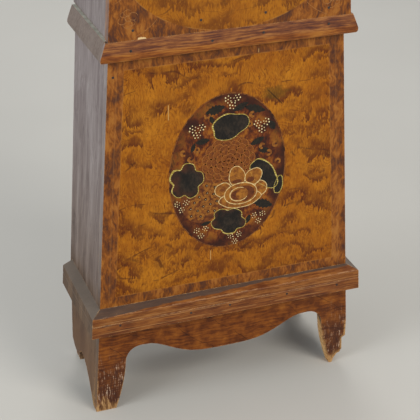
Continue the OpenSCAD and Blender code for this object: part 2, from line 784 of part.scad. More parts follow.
module centre_wheel()
    color("#c4a24a") {
        arbor_rod(0, dial_z, arbor_r, -18, 64);
        arbor_rod(0, dial_z, 1.7, 64, back_plate_v);
        arbor_rod(0, dial_z, arbor_r, back_plate_v - 1, back_plate_v + plate_t);
        translate([0, 0, dial_z]) {
            front_cut(centre_pinion_v, centre_pinion_v + 6)
                pinion_outline(centre_pinion, great_mod, great_dir);
            front_cut(centre_wheel_v, centre_wheel_v + 2) difference() {
                wheel_outline(centre_teeth, centre_mod, third_angle);
                crossings(5, 16.5, 4, 3);
            }
            front_cut(cannon_v, cannon_v + 2) wheel_outline(cannon_teeth, cannon_mod, -90);
        }
        arbor_rod(0, dial_z, 2.9, -11, cannon_v);
    }

hour_wheel_v = 5.5;
module hour_wheel()
    color("#c4a24a") {
        turned(0, dial_z, 0) translate([pipe_in, hour_v])
            square([pipe_out - pipe_in, hour_wheel_v + 1.5 - hour_v]);
        translate([0, 0, dial_z]) front_cut(hour_wheel_v, hour_wheel_v + 1.5) difference() {
            wheel_outline(hour_teeth, hour_mod, -90);
            circle(r = pipe_out - 0.2);
        }
    }

module minute_wheel()
    color("#c4a24a") translate([0, 0, dial_z - motion_dist]) {
        front_cut(cannon_v, cannon_v + 2) difference() {
            wheel_outline(minute_teeth, cannon_mod, 90 + 180 / minute_teeth);
            crossings(6, 14.5, 4, 3);
            circle(r = stud_r + pivot_play);
        }
        front_cut(hour_wheel_v - 0.5, cannon_v) difference() {
            pinion_outline(hour_pinion, hour_mod, 90 + 180 / hour_pinion);
            circle(r = stud_r + pivot_play);
        }
    }

third_pinion_v = 72.5;
third_wheel_v = 52;
module third_wheel()
    color("#c4a24a") translate([third_at[0], 0, dial_z + third_at[1]]) {
        arbor_rod(0, 0, leaf_arbor_r, front_plate_v, back_plate_v + plate_t);
        front_cut(third_pinion_v, third_pinion_v + 5.5)
            pinion_outline(leaf_teeth, centre_mod, third_angle + 180 + 180 / leaf_teeth);
        front_cut(third_wheel_v, third_wheel_v + 2) difference() {
            wheel_outline(third_teeth, third_mod, escape_dir);
            crossings(4, 13.5, 4, 2.5);
        }
    }
escape_dir = atan2(escape_at[1] - third_at[1], escape_at[0] - third_at[0]);

escape_wheel_v = 36;
escape_teeth = 30;
module escape_wheel()
    color("#c4a24a") translate([escape_at[0], 0, dial_z + escape_at[1]]) {
        arbor_rod(0, 0, leaf_arbor_r, front_plate_v, back_plate_v + plate_t);
        front_cut(third_wheel_v - 1.5, third_wheel_v + 4)
            pinion_outline(leaf_teeth, third_mod, escape_dir + 180 + 180 / leaf_teeth);
        front_cut(escape_wheel_v, escape_wheel_v + 1.5) difference() {
            union() {
                circle(r = escape_r - 3);
                for (i = [0 : escape_teeth - 1]) rotate(i * 360 / escape_teeth)
                    polygon([[escape_r - 3.5, -1.3], [escape_r, -0.1],
                        [escape_r, 0.3], [escape_r - 3.5, 0.5]]);
            }
            crossings(4, escape_r - 5.5, 4, 2.2);
        }
    }

fork_z = pallet_z - 110;
crutch_v = 84;
fork_gap = 3.3;
module anchor()
    color("#6d6a66") {
        arbor_rod(0, pallet_z, leaf_arbor_r, front_plate_v, cock_v + plate_t);
        arbor_rod(0, pallet_z, 4, escape_wheel_v - 2, escape_wheel_v + 3.5);
        translate([0, 0, pallet_z]) front_cut(escape_wheel_v - 0.5, escape_wheel_v + 2)
            for (s = [-1, 1]) {
                polygon([[0, 3], [s * 16, -4], [s * 18.2, -12], [s * 15.6, -13.2],
                    [s * 13.5, -7], [0, -3]]);
            }
        // crutch: stem behind the back plate and a fork round the pendulum rod
        arbor_rod(0, pallet_z, 3.5, crutch_v, crutch_v + 3);
        box(-1.5, 1.5, crutch_v, crutch_v + 2, fork_z, pallet_z - 2);
        difference() {
            box(-6, 6, crutch_v, rod_v + 7, fork_z - 3, fork_z);
            box(-fork_gap, fork_gap, crutch_v + 6, rod_v + 8, fork_z - 4, fork_z + 1);
        }
    }

great_v = 70;
module time_great_wheel()
    color("#c4a24a") translate([drum_x, 0, dial_z + drum_z])
        front_cut(great_v, great_v + 2.5) difference() {
            wheel_outline(great_teeth, great_mod, great_dir + 180 + 180 / great_teeth);
            crossings(9, 29, 4, 5);
            circle(r = drum_arbor_r + pivot_play);
        }

module drum(v0, v1) {
    arbor_rod(0, 0, drum_arbor_r, -3, back_plate_v + plate_t);
    front_cut(-14, -3) square(4, center = true);
    arbor_rod(0, 0, drum_r, v0, v1);
    for (v = [v0 - 1.5, v1]) arbor_rod(0, 0, drum_r + 3, v, v + 1.5);
}

module time_drum()
    color("#b8963e") translate([drum_x, 0, dial_z + drum_z]) drum(31.5, 64);

strike_wheel_r = 31;
module strike_drum()
    color("#b8963e") translate([-drum_x, 0, dial_z + drum_z]) {
        drum(36, 66);
        front_cut(26, 28.5) difference() {
            wheel_outline(78, 2 * strike_wheel_r / 79, 0);
            crossings(9, 26, 4, 5);
        }
    }

module weight(x, z)
    color("#4a4744") translate([x, y(drum_v), z]) {
        rotate_extrude() polygon([[0, 0], [weight_r - 3, 0], [weight_r, 3], [weight_r, weight_l - 4],
            [weight_r - 4, weight_l], [4, weight_l], [4, weight_l + 3], [0, weight_l + 3]]);
        translate([0, 0, weight_l + hook_h - 6]) rotate([90, 0, 0]) rotate_extrude()
            translate([6, 0]) circle(r = 1.8, $fn = 24);
        translate([0, 0, weight_l]) cylinder(r = 2, h = 5);
    }

module time_weight() weight(line_x, time_weight_z);
module strike_weight() weight(-line_x, strike_weight_z);

module weight_line(x, z) {
    low = z + weight_l + hook_h + 1.8;
    color("#8b7a5e") translate([x, y(drum_v), low]) cylinder(r = line_r, h = dial_z + drum_z - low);
}
module time_line() weight_line(line_x, time_weight_z);
module strike_line() weight_line(-line_x, strike_weight_z);

rod_r = 3;
spring_l = 30;
nut_h = 9;
module pendulum_rod()
    color("#8a8378") {
        translate([0, y(rod_v), bob_z - bob_r - 28])
            cylinder(r = rod_r, h = pallet_z - spring_l - bob_z + bob_r + 28);
        box(-5, 5, rod_v - 3, rod_v + 3, pallet_z - spring_l - 4, pallet_z - spring_l + 6);
        box(-0.2, 0.2, rod_v - 5, rod_v + 5, pallet_z - spring_l, pallet_z + 8);
    }

bob_t = 13;
module pendulum_bob()
    color("#b08d3f") difference() {
        turned(0, bob_z, rod_v)
            polygon([for (i = [-6 : 6]) let (a = 15 * i) [bob_r * cos(a), bob_t * sin(a)]]);
        translate([0, y(rod_v), bob_z - bob_r - 1]) cylinder(r = rod_r + pivot_play, h = 2 * bob_r + 2);
    }

module rating_nut()
    color("#b08d3f") translate([0, y(rod_v), bob_z - bob_r - nut_h - 1]) difference() {
        cylinder(r = 8, h = nut_h, $fn = 8);
        translate([0, 0, -1]) cylinder(r = rod_r + pivot_play, h = nut_h + 2);
    }

base_front();
base_side_left();
base_side_right();
base_floor();
back_board();
plinth_moulding_front();
plinth_moulding_returns();
waist_moulding_front();
waist_moulding_returns();
trunk_side_left();
trunk_side_right();
trunk_rail_lower();
trunk_rail_upper();
trunk_stile_left();
trunk_stile_right();
throat_moulding();
seat_board();
door_hinge_plates();
trunk_door();
door_bead();
door_glass();
door_hinge_leaves();
door_lock();
lock_bolt();
door_key();
hood_side_left();
hood_side_right();
hood_front();
hood_top();
cornice();
hood_hinge_plates();
hood_door();
hood_glass();
hood_hinge_leaves();
hood_knob();
front_plate();
back_plate();
plate_pillars();
back_cock();
dial();
bell();
hammer();
minute_hand();
centre_wheel();
hour_hand();
hour_wheel();
minute_wheel();
third_wheel();
escape_wheel();
anchor();
time_great_wheel();
time_drum();
strike_drum();
time_weight();
strike_weight();
time_line();
strike_line();
pendulum_rod();
pendulum_bob();
rating_nut();
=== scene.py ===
import math

import bmesh
import bpy
from mathutils import Matrix, Vector
from mathutils.geometry import delaunay_2d_cdt


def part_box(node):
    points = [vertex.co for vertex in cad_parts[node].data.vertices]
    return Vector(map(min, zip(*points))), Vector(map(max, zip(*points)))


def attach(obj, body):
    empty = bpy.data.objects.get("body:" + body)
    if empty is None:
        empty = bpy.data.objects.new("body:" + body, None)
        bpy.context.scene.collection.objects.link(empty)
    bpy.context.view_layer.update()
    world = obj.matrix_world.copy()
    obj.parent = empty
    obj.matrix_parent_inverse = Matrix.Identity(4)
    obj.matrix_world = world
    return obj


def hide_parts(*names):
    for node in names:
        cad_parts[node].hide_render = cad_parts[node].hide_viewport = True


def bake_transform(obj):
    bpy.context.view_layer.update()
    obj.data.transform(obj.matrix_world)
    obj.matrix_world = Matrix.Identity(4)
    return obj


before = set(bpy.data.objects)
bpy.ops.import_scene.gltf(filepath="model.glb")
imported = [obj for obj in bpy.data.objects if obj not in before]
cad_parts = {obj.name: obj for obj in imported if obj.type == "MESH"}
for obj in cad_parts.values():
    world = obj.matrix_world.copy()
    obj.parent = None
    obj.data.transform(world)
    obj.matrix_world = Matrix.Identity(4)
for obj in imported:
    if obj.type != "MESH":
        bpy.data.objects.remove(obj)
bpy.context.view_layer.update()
MM = 1000                              # millimetres in a metre


# ------------ places, in metres unless said otherwise
def low(node):
    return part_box(node)[0]


def high(node):
    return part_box(node)[1]


FRONT = low("base_front").y            # the base's front plane
BASE_HALF = high("base_front").x       # half its width at the floor
TAPER = 0.066                          # how far each side leans in, over its height
BACK_INSET = 0.018                     # the back board's edges stand this far inside the sides' faces
TRUNK_FRONT = low("trunk_rail_lower").y
TRUNK_HALF = high("trunk_rail_lower").x
WAIST = low("trunk_rail_lower").z
DIAL = (low("dial") + high("dial")) / 2
DIAL_FRONT = low("dial").y
PANEL_TOP, PANEL_BOTTOM = 652, 235     # the golden panel on the base, in millimetres
OVAL_Z, OVAL_A, OVAL_B = 443, 107, 146  # the painted oval's middle height and half axes, in millimetres


def base_w(z):
    return BASE_HALF - TAPER * z


def trunk_w(z):
    return TRUNK_HALF - TAPER * (z - WAIST)


# ------------ camera and light
EYE = Vector((-0.7070, FRONT - 1.8188, 1.3929))
YAW, PITCH, ROLL = 0.35515, 0.48322, 0.0041      # turned to the right, tilted down, in radians
FOCAL = 1266.77 / 420                            # focal length over the picture's width
SENSOR = 36


def make_camera():
    forward = Vector((math.sin(YAW) * math.cos(PITCH), math.cos(YAW) * math.cos(PITCH), -math.sin(PITCH)))
    flat = Vector((math.cos(YAW), -math.sin(YAW), 0))
    up = flat.cross(forward)
    right = flat * math.cos(ROLL) + up * math.sin(ROLL)
    up = right.cross(forward)
    data = bpy.data.cameras.new("camera")
    data.sensor_width = SENSOR
    data.lens = FOCAL * SENSOR
    data.clip_start, data.clip_end = 0.05, 60
    cam = bpy.data.objects.new("camera", data)
    m = Matrix.Identity(4)
    for i in range(3):
        m[i][0], m[i][1], m[i][2] = right[i], up[i], -forward[i]
    m.translation = EYE
    cam.matrix_world = m
    bpy.context.scene.collection.objects.link(cam)
    bpy.context.scene.camera = cam


def area_light(name, place, target, size, power, colour):
    data = bpy.data.lights.new(name, "AREA")
    data.shape = "DISK"
    data.size = size
    data.energy = power
    data.color = colour
    o = bpy.data.objects.new(name, data)
    o.location = place
    o.rotation_euler = (Vector(target) - Vector(place)).to_track_quat("-Z", "Y").to_euler()
    bpy.context.scene.collection.objects.link(o)


def make_light():
    world = bpy.data.worlds.new("studio")
    world.use_nodes = True
    back = world.node_tree.nodes["Background"]
    back.inputs[0].default_value = (0.93, 0.96, 1.0, 1)
    back.inputs[1].default_value = 0.50
    bpy.context.scene.world = world
    area_light("key", (1.5, -3.2, 2.7), (0, 0, 0.7), 2.2, 100, (1.0, 0.97, 0.93))
    area_light("fill", (-3.4, -0.9, 2.2), (0, 0, 0.7), 2.4, 75, (0.92, 0.96, 1.0))
    area_light("back", (0.8, 3.0, 3.0), (0, 0, 1.1), 2.0, 45, (1.0, 1.0, 1.0))
    bpy.context.scene.view_settings.view_transform = "Standard"


# ------------ shader graphs
def rgb(text):
    out = []
    for i in (0, 2, 4):
        c = int(text[i:i + 2], 16) / 255
        out.append(c / 12.92 if c <= 0.04045 else ((c + 0.055) / 1.055) ** 2.4)
    return (out[0], out[1], out[2], 1)


class Val:
    """A number in a shader graph. It adds, multiplies and compares like one."""

    def __init__(self, g, socket):
        self.g, self.s = g, socket

    def op(self, kind, a=None, swap=False):
        n = self.g.new("ShaderNodeMath")
        n.operation = kind
        first, second = (a, self) if swap else (self, a)
        self.g.feed(n.inputs[0], first)
        if second is not None:
            self.g.feed(n.inputs[1], second)
        return Val(self.g, n.outputs[0])

    def __add__(self, o): return self.op("ADD", o)
    def __radd__(self, o): return self.op("ADD", o)
    def __sub__(self, o): return self.op("SUBTRACT", o)
    def __rsub__(self, o): return self.op("SUBTRACT", o, swap=True)
    def __mul__(self, o): return self.op("MULTIPLY", o)
    def __rmul__(self, o): return self.op("MULTIPLY", o)
    def __truediv__(self, o): return self.op("DIVIDE", o)
    def abs(self): return self.op("ABSOLUTE")
    def sqrt(self): return self.op("SQRT")
    def pow(self, o): return self.op("POWER", o)
    def sin(self): return self.op("SINE")
    def min(self, o): return self.op("MINIMUM", o)
    def max(self, o): return self.op("MAXIMUM", o)
    def frac(self): return self.op("FRACT")

    def between(self, e0, e1, lo=0.0, hi=1.0):
        """Rises smoothly from lo to hi as the value goes from e0 to e1."""
        n = self.g.new("ShaderNodeMapRange")
        n.interpolation_type = "SMOOTHSTEP"
        self.g.feed(n.inputs[0], self)
        for i, v in enumerate((e0, e1, lo, hi)):
            self.g.feed(n.inputs[i + 1], v)
        return Val(self.g, n.outputs[0])

    def line(self, at, half, soft):
        """1 within half of at, fading over soft."""
        return (self - at).abs().between(half + soft, half)


class Graph:
    """One material. Its coordinates are the clock's own, in millimetres."""

    def __init__(self, name):
        self.mat = bpy.data.materials.new(name)
        self.mat.use_nodes = True
        self.tree = self.mat.node_tree
        self.bsdf = self.tree.nodes["Principled BSDF"]
        tc = self.new("ShaderNodeTexCoord")
        self.p = self.scaled(tc.outputs["Object"], MM)
        sep = self.new("ShaderNodeSeparateXYZ")
        self.tree.links.new(self.p, sep.inputs[0])
        self.x, self.y, self.z = (Val(self, sep.outputs[i]) for i in range(3))
        geo = self.new("ShaderNodeNewGeometry")
        self.normal = geo.outputs["Normal"]
        nsep = self.new("ShaderNodeSeparateXYZ")
        self.tree.links.new(self.normal, nsep.inputs[0])
        self.nx, self.ny, self.nz = (Val(self, nsep.outputs[i]) for i in range(3))

    def new(self, kind):
        return self.tree.nodes.new(kind)

    def feed(self, socket, value):
        if isinstance(value, Val):
            self.tree.links.new(value.s, socket)
        elif isinstance(value, bpy.types.NodeSocket):
            self.tree.links.new(value, socket)
        else:
            socket.default_value = value

    def vec(self, x, y, z):
        n = self.new("ShaderNodeCombineXYZ")
        for i, v in enumerate((x, y, z)):
            self.feed(n.inputs[i], v)
        return n.outputs[0]

    def scaled(self, v, s):
        n = self.new("ShaderNodeVectorMath")
        if isinstance(s, (int, float)):
            n.operation = "SCALE"
            self.feed(n.inputs[0], v)
            n.inputs[3].default_value = s
        else:
            n.operation = "MULTIPLY"
            self.feed(n.inputs[0], v)
            n.inputs[1].default_value = s
        return n.outputs[0]

    def moved(self, v, d):
        n = self.new("ShaderNodeVectorMath")
        n.operation = "ADD"
        self.feed(n.inputs[0], v)
        self.feed(n.inputs[1], d)
        return n.outputs[0]

    def noise(self, v, size, detail, rough=0.5, colour=False):
        """Noise whose lumps are about size millimetres across, from 0 to 1 about 0.5."""
        n = self.new("ShaderNodeTexNoise")
        self.feed(n.inputs["Vector"], v)
        n.inputs["Scale"].default_value = 1.0 / size
        n.inputs["Detail"].default_value = detail
        n.inputs["Roughness"].default_value = rough
        return n.outputs["Color"] if colour else Val(self, n.outputs[0])

    def grain(self, v, squeeze, size, detail, rough=0.5):
        """Noise that is stretched along the axes whose squeeze is below 1."""
        return self.noise(self.scaled(v, squeeze), size, detail, rough)

    def cells(self, v, size, feature="F1"):
        """Distance within cells about size millimetres across."""
        n = self.new("ShaderNodeTexVoronoi")
        n.feature = feature
        self.feed(n.inputs["Vector"], v)
        n.inputs["Scale"].default_value = 1.0 / size
        return Val(self, n.outputs["Distance"])

    def warp(self, v, size, amount, detail=2.0):
        """The coordinates pushed about by noise, by up to amount millimetres."""
        c = self.noise(v, size, detail, colour=True)
        c = self.moved(c, (-0.5, -0.5, -0.5))
        return self.moved(v, self.scaled(c, 2 * amount))

    def mix(self, f, a, b):
        n = self.new("ShaderNodeMix")
        n.data_type = "RGBA"
        self.feed(n.inputs[0], f)
        self.feed(n.inputs[6], rgb(a) if isinstance(a, str) else a)
        self.feed(n.inputs[7], rgb(b) if isinstance(b, str) else b)
        return n.outputs[2]

    def ramp(self, f, stops):
        n = self.new("ShaderNodeValToRGB")
        self.feed(n.inputs[0], f)
        el = n.color_ramp.elements
        while len(el) < len(stops):
            el.new(0.5)
        for e, (at, c) in zip(el, stops):
            e.position = at
            e.color = rgb(c)
        return n.outputs[0]

    def far(self, x, z, a, b):
        """How far out of (x, z) a point lies, squared: 1 on the ellipse with half axes a and b."""
        return ((self.x - x) / a).pow(2) + ((self.z - z) / b).pow(2)

    def edge(self, radius):
        """How near a sharp edge is, from the difference a bevel of that radius in metres would make."""
        bevel = self.new("ShaderNodeBevel")
        bevel.samples = 4
        self.feed(bevel.inputs[0], radius)
        dot = self.new("ShaderNodeVectorMath")
        dot.operation = "DOT_PRODUCT"
        self.feed(dot.inputs[0], bevel.outputs[0])
        self.feed(dot.inputs[1], self.normal)
        return ((1 - Val(self, dot.outputs["Value"])) * 3.0).min(1.0)

    def bump(self, height, strength, depth):
        n = self.new("ShaderNodeBump")
        n.inputs["Strength"].default_value = strength
        n.inputs["Distance"].default_value = depth
        self.feed(n.inputs["Height"], height)
        self.feed(self.bsdf.inputs["Normal"], n.outputs[0])

    def done(self, colour, rough, metal=0.0, **more):
        self.feed(self.bsdf.inputs["Base Color"], rgb(colour) if isinstance(colour, str) else colour)
        self.feed(self.bsdf.inputs["Roughness"], rough)
        self.bsdf.inputs["Metallic"].default_value = metal
        for k, v in more.items():
            self.bsdf.inputs[k.replace("_", " ")].default_value = v
        return self.mat

    def varnished(self, colour, rough, specular, coat, coat_rough):
        return self.done(colour, rough, Specular_IOR_Level=specular, Coat_Weight=coat,
                         Coat_Roughness=coat_rough)


def figured(g):
    """Golden ochre graining: rows of brown feathering that end in ragged drips. Gives (colour, height)."""
    big = g.grain(g.p, (1.0, 1.0, 0.8), 80, 2)
    mid = g.noise(g.p, 23, 2)
    p = g.warp(g.p, 40, 9, 1)
    drip = g.grain(p, (1.0, 0.3, 0.17), 3.1, 2, 0.6)
    hair = g.grain(p, (1.0, 0.4, 0.32), 2.3, 2, 0.62)
    dark = 0.0
    for spacing, shift, lo, strength in ((58.0, 0.0, 0.43, 1.0), (31.0, 310.0, 0.47, 0.9)):
        level = ((g.z + (big - 0.5) * 170 + (mid - 0.5) * 40 + (drip - 0.5) * 44 + shift) / spacing).frac()
        row = level.between(0.0, 0.07) * level.between(0.70, 0.06)
        row = row * g.noise(g.moved(g.p, (shift, 0, shift)), 46, 2).between(lo, lo + 0.12) * strength
        dark = row if dark == 0.0 else dark.max(row)
    # feather lines: fine curves that follow the clouds
    contour = ((g.x * 0.9 + g.z * 0.5 + (big - 0.5) * 330) * 1.05).sin()
    feather = contour.between(0.35, 0.95) * g.noise(g.moved(g.p, (90, 0, 700)), 52, 2).between(0.50, 0.60)
    vein = (g.grain(g.p, (0.45, 0.45, 1.3), 95, 2) - 0.5).abs().between(0.010, 0.002)
    c = g.ramp(big * 0.6 + mid * 0.4, [(0.34, "8f500c"), (0.48, "a3610e"), (0.64, "b27016")])
    c = g.mix(drip.between(0.44, 0.66) * 0.40, c, "7d450a")
    c = g.mix(dark * (drip * 0.7 + hair * 0.5 + 0.30).min(0.94), c, "54230b")
    c = g.mix(feather * 0.50, c, "6a3208")
    c = g.mix(vein * mid.between(0.45, 0.6) * 0.7, c, "47200c")
    c = g.mix(hair.between(0.50, 0.66) * 0.46, c, "633008")
    c = g.mix(hair.between(0.44, 0.30) * 0.32, c, "bd8224")
    return c, drip * 0.6 + hair * 0.4


def red_brown(g):
    """The darker mottled brown of borders and spandrels. Gives (colour, height)."""
    p = g.warp(g.p, 26, 8, 2)
    a = g.grain(p, (1.0, 0.5, 0.28), 4, 4, 0.65)
    b = g.grain(p, (1.0, 1.0, 0.6), 22, 2, 0.5)
    f = (a * 0.5 + b * 0.5).between(0.33, 0.66)
    c = g.ramp(f, [(0.0, "432822"), (0.35, "683a1a"), (0.65, "884e1c"), (1.0, "a1672a")])
    return c, a


def wear_and_edge_highlight(g, colour, radius, cut, amount=0.9):
    """Bare pale wood in patches along the sharp edges, more of it at the feet, and a painted highlight: a
    thin light line along every sharp edge. Gives (colour, mask).
    """
    low_down = g.z.between(100, 55)
    e = g.edge(low_down * 0.0022 + radius)
    patch = (g.noise(g.p, 9, 4, 0.7) + low_down * 0.10).between(cut, cut + 0.10)
    mask = e.between(0.10, 0.45) * patch * amount
    raw = g.mix(g.grain(g.p, (1, 1, 0.3), 2.5, 3), "9c6a38", "d6ae76")
    # painted highlight: a thin light grey-tan line along every sharp edge, wherever there is no bare wood
    c = g.mix(e.between(0.1, 0.6) * 0.22, colour, "9a7a58")
    return g.mix(mask, c, raw), mask


def side_of(g):
    """1 on faces that look left or right, 0 on faces that look forward."""
    return (g.nx.abs() - g.ny.abs()).between(0.0, 0.25)


def grey_side(g):
    """Worn grey-brown paint with vertical grain, browner towards the feet. Gives (colour, height)."""
    p = g.warp(g.p, 60, 5, 1)
    grain = g.grain(p, (1.0, 1.0, 0.030), 2.4, 4, 0.62)
    broad = g.grain(p, (1.0, 1.0, 0.12), 26, 3, 0.5)
    f = grain * 0.6 + broad * 0.4
    c = g.ramp(f, [(0.34, "625654"), (0.46, "807472"), (0.58, "958b88"), (0.72, "a69d99")])
    warm = g.ramp(f, [(0.34, "38281c"), (0.46, "533e2c"), (0.58, "6b523a"), (0.72, "82694d")])
    c = g.mix(g.z.between(690, 760) * 0.10, c, "2e2a28")
    c = g.mix((g.z + (broad - 0.5) * 260).between(600, 180) * 0.66, c, warm)
    c = g.mix((g.z + (broad - 0.5) * 60).between(262, 196) * 0.88, c, warm)
    c = g.mix(g.z.between(175, 80) * 0.36, c, "70492a")
    spots = g.noise(p, 5, 4, 0.72).between(0.67, 0.73)
    return g.mix(spots * 0.55, c, "33251e"), grain


def dusty(g, colour):
    """Grey dust where a face looks up, deeper on the ledges' left than on their right, and a light line
    rubbed along the plinth's ledge."""
    drift = g.grain(g.p, (0.3, 1.0, 1.0), 8, 3)
    depth = g.y - FRONT * MM
    behind = (depth + (9 - g.x * 0.035).max(5.0) + (drift - 0.5) * 9).between(-1, 1)
    up = g.nz.between(0.45, 0.8)
    colour = g.mix(up * behind * 0.85, colour, g.mix(drift, "3a2f29", "544840"))
    broken = g.grain(g.p, (0.4, 1.0, 1.0), 9, 3, 0.7).between(0.50, 0.60)
    return g.mix(up * depth.line(-16.6, 0.5, 0.6) * broken * 0.7, colour, "a98058")


# ------------ painted materials
def front_material():
    """The base's front: a golden panel in a brown border, over a plain brown apron with battered feet."""
    g = Graph("painted_front")
    c, h = figured(g)
    dark, _ = red_brown(g)
    x, z = g.x, g.z
    wave = (g.noise(g.p, 12, 2) - 0.5) * 2.0
    edge = BASE_HALF * MM - TAPER * z - x.abs() + wave
    above = (z + wave).between(PANEL_TOP - 1, PANEL_TOP + 1)
    below = (z + wave).between(PANEL_BOTTOM + 1, PANEL_BOTTOM - 1)
    c = g.mix(edge.between(22.5, 20.5).max(above).max(below) * 0.93, c, dark)
    inner = (edge - 21.5).min(PANEL_TOP - z).min(z - PANEL_BOTTOM)
    tan = (inner + wave * 0.6).line(0, 0.4, 1.1) * g.noise(g.p, 18, 3).between(0.35, 0.6)
    c = g.mix(tan * 0.5, c, "a86f30")
    c = g.mix(edge.line(10, 0.4, 1.0) * 0.20, c, "a5713c")
    # apron: plain brown, cracked and dirty towards the feet
    p = g.warp(g.p, 40, 6, 2)
    streak = g.grain(p, (0.08, 0.3, 1.0), 3.5, 4, 0.6)
    crack = g.grain(p, (1.0, 0.3, 0.09), 2.3, 3, 0.7)
    mottle = streak * 0.45 + g.noise(p, 22, 4, 0.6) * 0.55
    body = g.ramp(mottle, [(0.36, "47210d"), (0.47, "683511"), (0.57, "854a17"), (0.70, "9a5f21")])
    body = g.mix(z.between(150, 180) * 0.35, body, "85501c")
    diagonal = g.grain(g.p, (1.0, 0.3, 1.0), 40, 1)
    split = ((x * 0.8 + z + diagonal * 30) / 58).frac().line(0.5, 0.006, 0.012)
    body = g.mix(split * diagonal.between(0.42, 0.55) * 0.6, body, "241009")
    ragged = z + (g.grain(p, (1.0, 1.0, 0.35), 16, 3) - 0.5) * 110
    foot = ragged.between(146, 40) * x.abs().between(146, 172)
    body = g.mix(foot * crack.between(0.36, 0.60, 0.90, 0.45), body, "3c241d")
    chips = foot * crack.between(0.575, 0.635) * streak.between(0.40, 0.54)
    body = g.mix(chips * 0.85, body, "bfa58d")
    tip = (z + (g.grain(p, (1.0, 1.0, 0.5), 9, 3) - 0.5) * 62).between(22, 6)
    body = g.mix(tip * 0.9, body, g.mix(crack.between(0.4, 0.62), "6f4a29", "bf9562"))
    c = g.mix(z.between(190, 186), c, body)
    c = g.mix(side_of(g) * (1 - tip), c, grey_side(g)[0])
    # the right foot's broken inner face and torn edge show raw wood
    broken = ragged.between(112, 78) * x.between(150, 180) * side_of(g)
    broken = broken * crack.between(0.30, 0.52, 0.80, 1.0)
    c = g.mix(broken, c, g.mix(streak.between(0.4, 0.6), "bd8a52", "ecc084"))
    torn = g.edge(0.009).between(0.06, 0.30) * z.between(98, 80) * x.between(190, 200)
    c = g.mix(torn * streak.between(0.34, 0.50), c, g.mix(crack, "b07c42", "dcb276"))
    c = dusty(g, c)
    # light scratches, and a dark olive stain with a scored line across it
    for mark_x, mark_z, length in ((-106, 568, 12), (-31, 285, 8), (52, 657, 2)):
        mark = (x - mark_x).line(0, 0.3, 0.7) * (z - mark_z).line(0, length, 3)
        c = g.mix(mark * 0.7, c, "cfa669")
    blot = g.far(84, 578, 26, 13) + (mottle - 0.5) * 4
    c = g.mix(blot.between(1.3, 0.1) * 0.55, c, "4a3a0e")
    score = ((x - 84) + (z - 570) * 0.92).line(0, 0.4, 1.2) * (z - 570).line(0, 13, 3)
    c = g.mix(score * 0.8, c, "1e140c")
    c, bare = wear_and_edge_highlight(g, c, 0.0018, 0.50)
    g.bump(h * 0.4 + foot * crack * 1.4 - bare * 1.2, 0.4, 0.0006)
    rough = g.noise(g.p, 18, 3) * 0.16 + 0.34 + bare * 0.35 + foot * 0.14
    return g.varnished(c, rough, 0.16, 0.05, 0.16)


def ellipse(g, cz, a, b):
    """Signed distance, nearly, from the line of an ellipse in the middle at height cz: negative inside."""
    u, v = g.x / a, (g.z - cz) / b
    k = (u.pow(2) + v.pow(2)).max(0.0004).sqrt()
    slope = ((u / a).pow(2) + (v / b).pow(2)).max(1e-9).sqrt()
    return (k - 1) * k / slope


def trunk_material():
    """Golden panel with rounded ends between darker brown corners, edged by a thin tan line and, further
    in, a fainter brown one."""
    g = Graph("painted_trunk")
    c, h = figured(g)
    dark, _ = red_brown(g)
    z0, z1 = WAIST * MM + 125, low("throat_moulding").z * MM - 126
    half = TRUNK_HALF * MM - TAPER * (g.z - WAIST * MM) - 22
    lower = ellipse(g, z0, 185, 126)
    upper = ellipse(g, z1, 136, 112)
    flank = g.x.abs() - half
    mid = g.z.between(z0 - 0.5, z0 + 0.5)
    top = g.z.between(z1 - 0.5, z1 + 0.5)
    d = lower * (1 - mid) + flank * mid * (1 - top) + upper * top
    c = g.mix(0.25, c, "8a5516")
    c = g.mix(d.between(-1, 1) * 0.93, c, dark)
    patchy = g.noise(g.p, 20, 3).between(0.32, 0.58)
    c = g.mix(d.line(0, 0.4, 0.9) * patchy * 0.42, c, "a8763a")
    c = g.mix(d.line(-30, 0.4, 1.0) * patchy * 0.28, c, "5f330d")
    ragged = g.noise(g.p, 4, 3, 0.7) * 3.0
    chip = (g.far(-154, WAIST * MM + 1, 7, 3) + ragged).between(2.5, 2.2)
    c = g.mix(chip * 0.9, c, "e0c08c")
    c = g.mix(side_of(g) * 0.85, c, g.mix(0.5, grey_side(g)[0], dark))
    c, bare = wear_and_edge_highlight(g, c, 0.0016, 0.55)
    g.bump(h * 0.4 - bare, 0.35, 0.0006)
    rough = g.noise(g.p, 18, 3) * 0.16 + 0.34 + bare * 0.3
    return g.varnished(c, rough, 0.16, 0.05, 0.16)


def moulding_material(name, top, nose, at, span, scored=()):
    """Brown moulding with streaks along it. The colours change from nose to top within span of the height
    at; scored gives the heights of thin light lines that run along it."""
    g = Graph(name)
    p = g.warp(g.p, 50, 3, 2)
    streak = g.grain(p, (0.045, 0.07, 1.0), 1.9, 4, 0.65)
    blot = g.grain(p, (0.35, 0.35, 1.0), 15, 4, 0.6)
    f = (streak * 0.55 + blot * 0.45).between(0.36, 0.64)
    lower, upper = (g.ramp(f, list(zip((0.0, 0.5, 1.0), colours))) for colours in (nose, top))
    level = (g.z + (blot - 0.5) * 8).between(at - span, at + span)
    c = g.mix(level, lower, upper)
    broken = g.grain(g.p, (0.25, 0.25, 1.0), 9, 3).between(0.36, 0.58)
    for height in scored:
        c = g.mix((g.z + (streak - 0.5) * 1.2).line(height, 0.35, 0.7) * broken * 0.55, c, "b28350")
    c = g.mix(side_of(g) * 0.9, c, grey_side(g)[0])
    c = dusty(g, c)
    scratch = g.grain(p, (0.12, 0.2, 1.0), 1.5, 3, 0.7).between(0.67, 0.74)
    c = g.mix(scratch * 0.5, c, "b98752")
    c, bare = wear_and_edge_highlight(g, c, 0.0018, 0.47)
    g.bump(streak * 0.7 - bare, 0.4, 0.0006)
    return g.varnished(c, blot * 0.14 + 0.42 + bare * 0.3, 0.25, 0.05, 0.25)


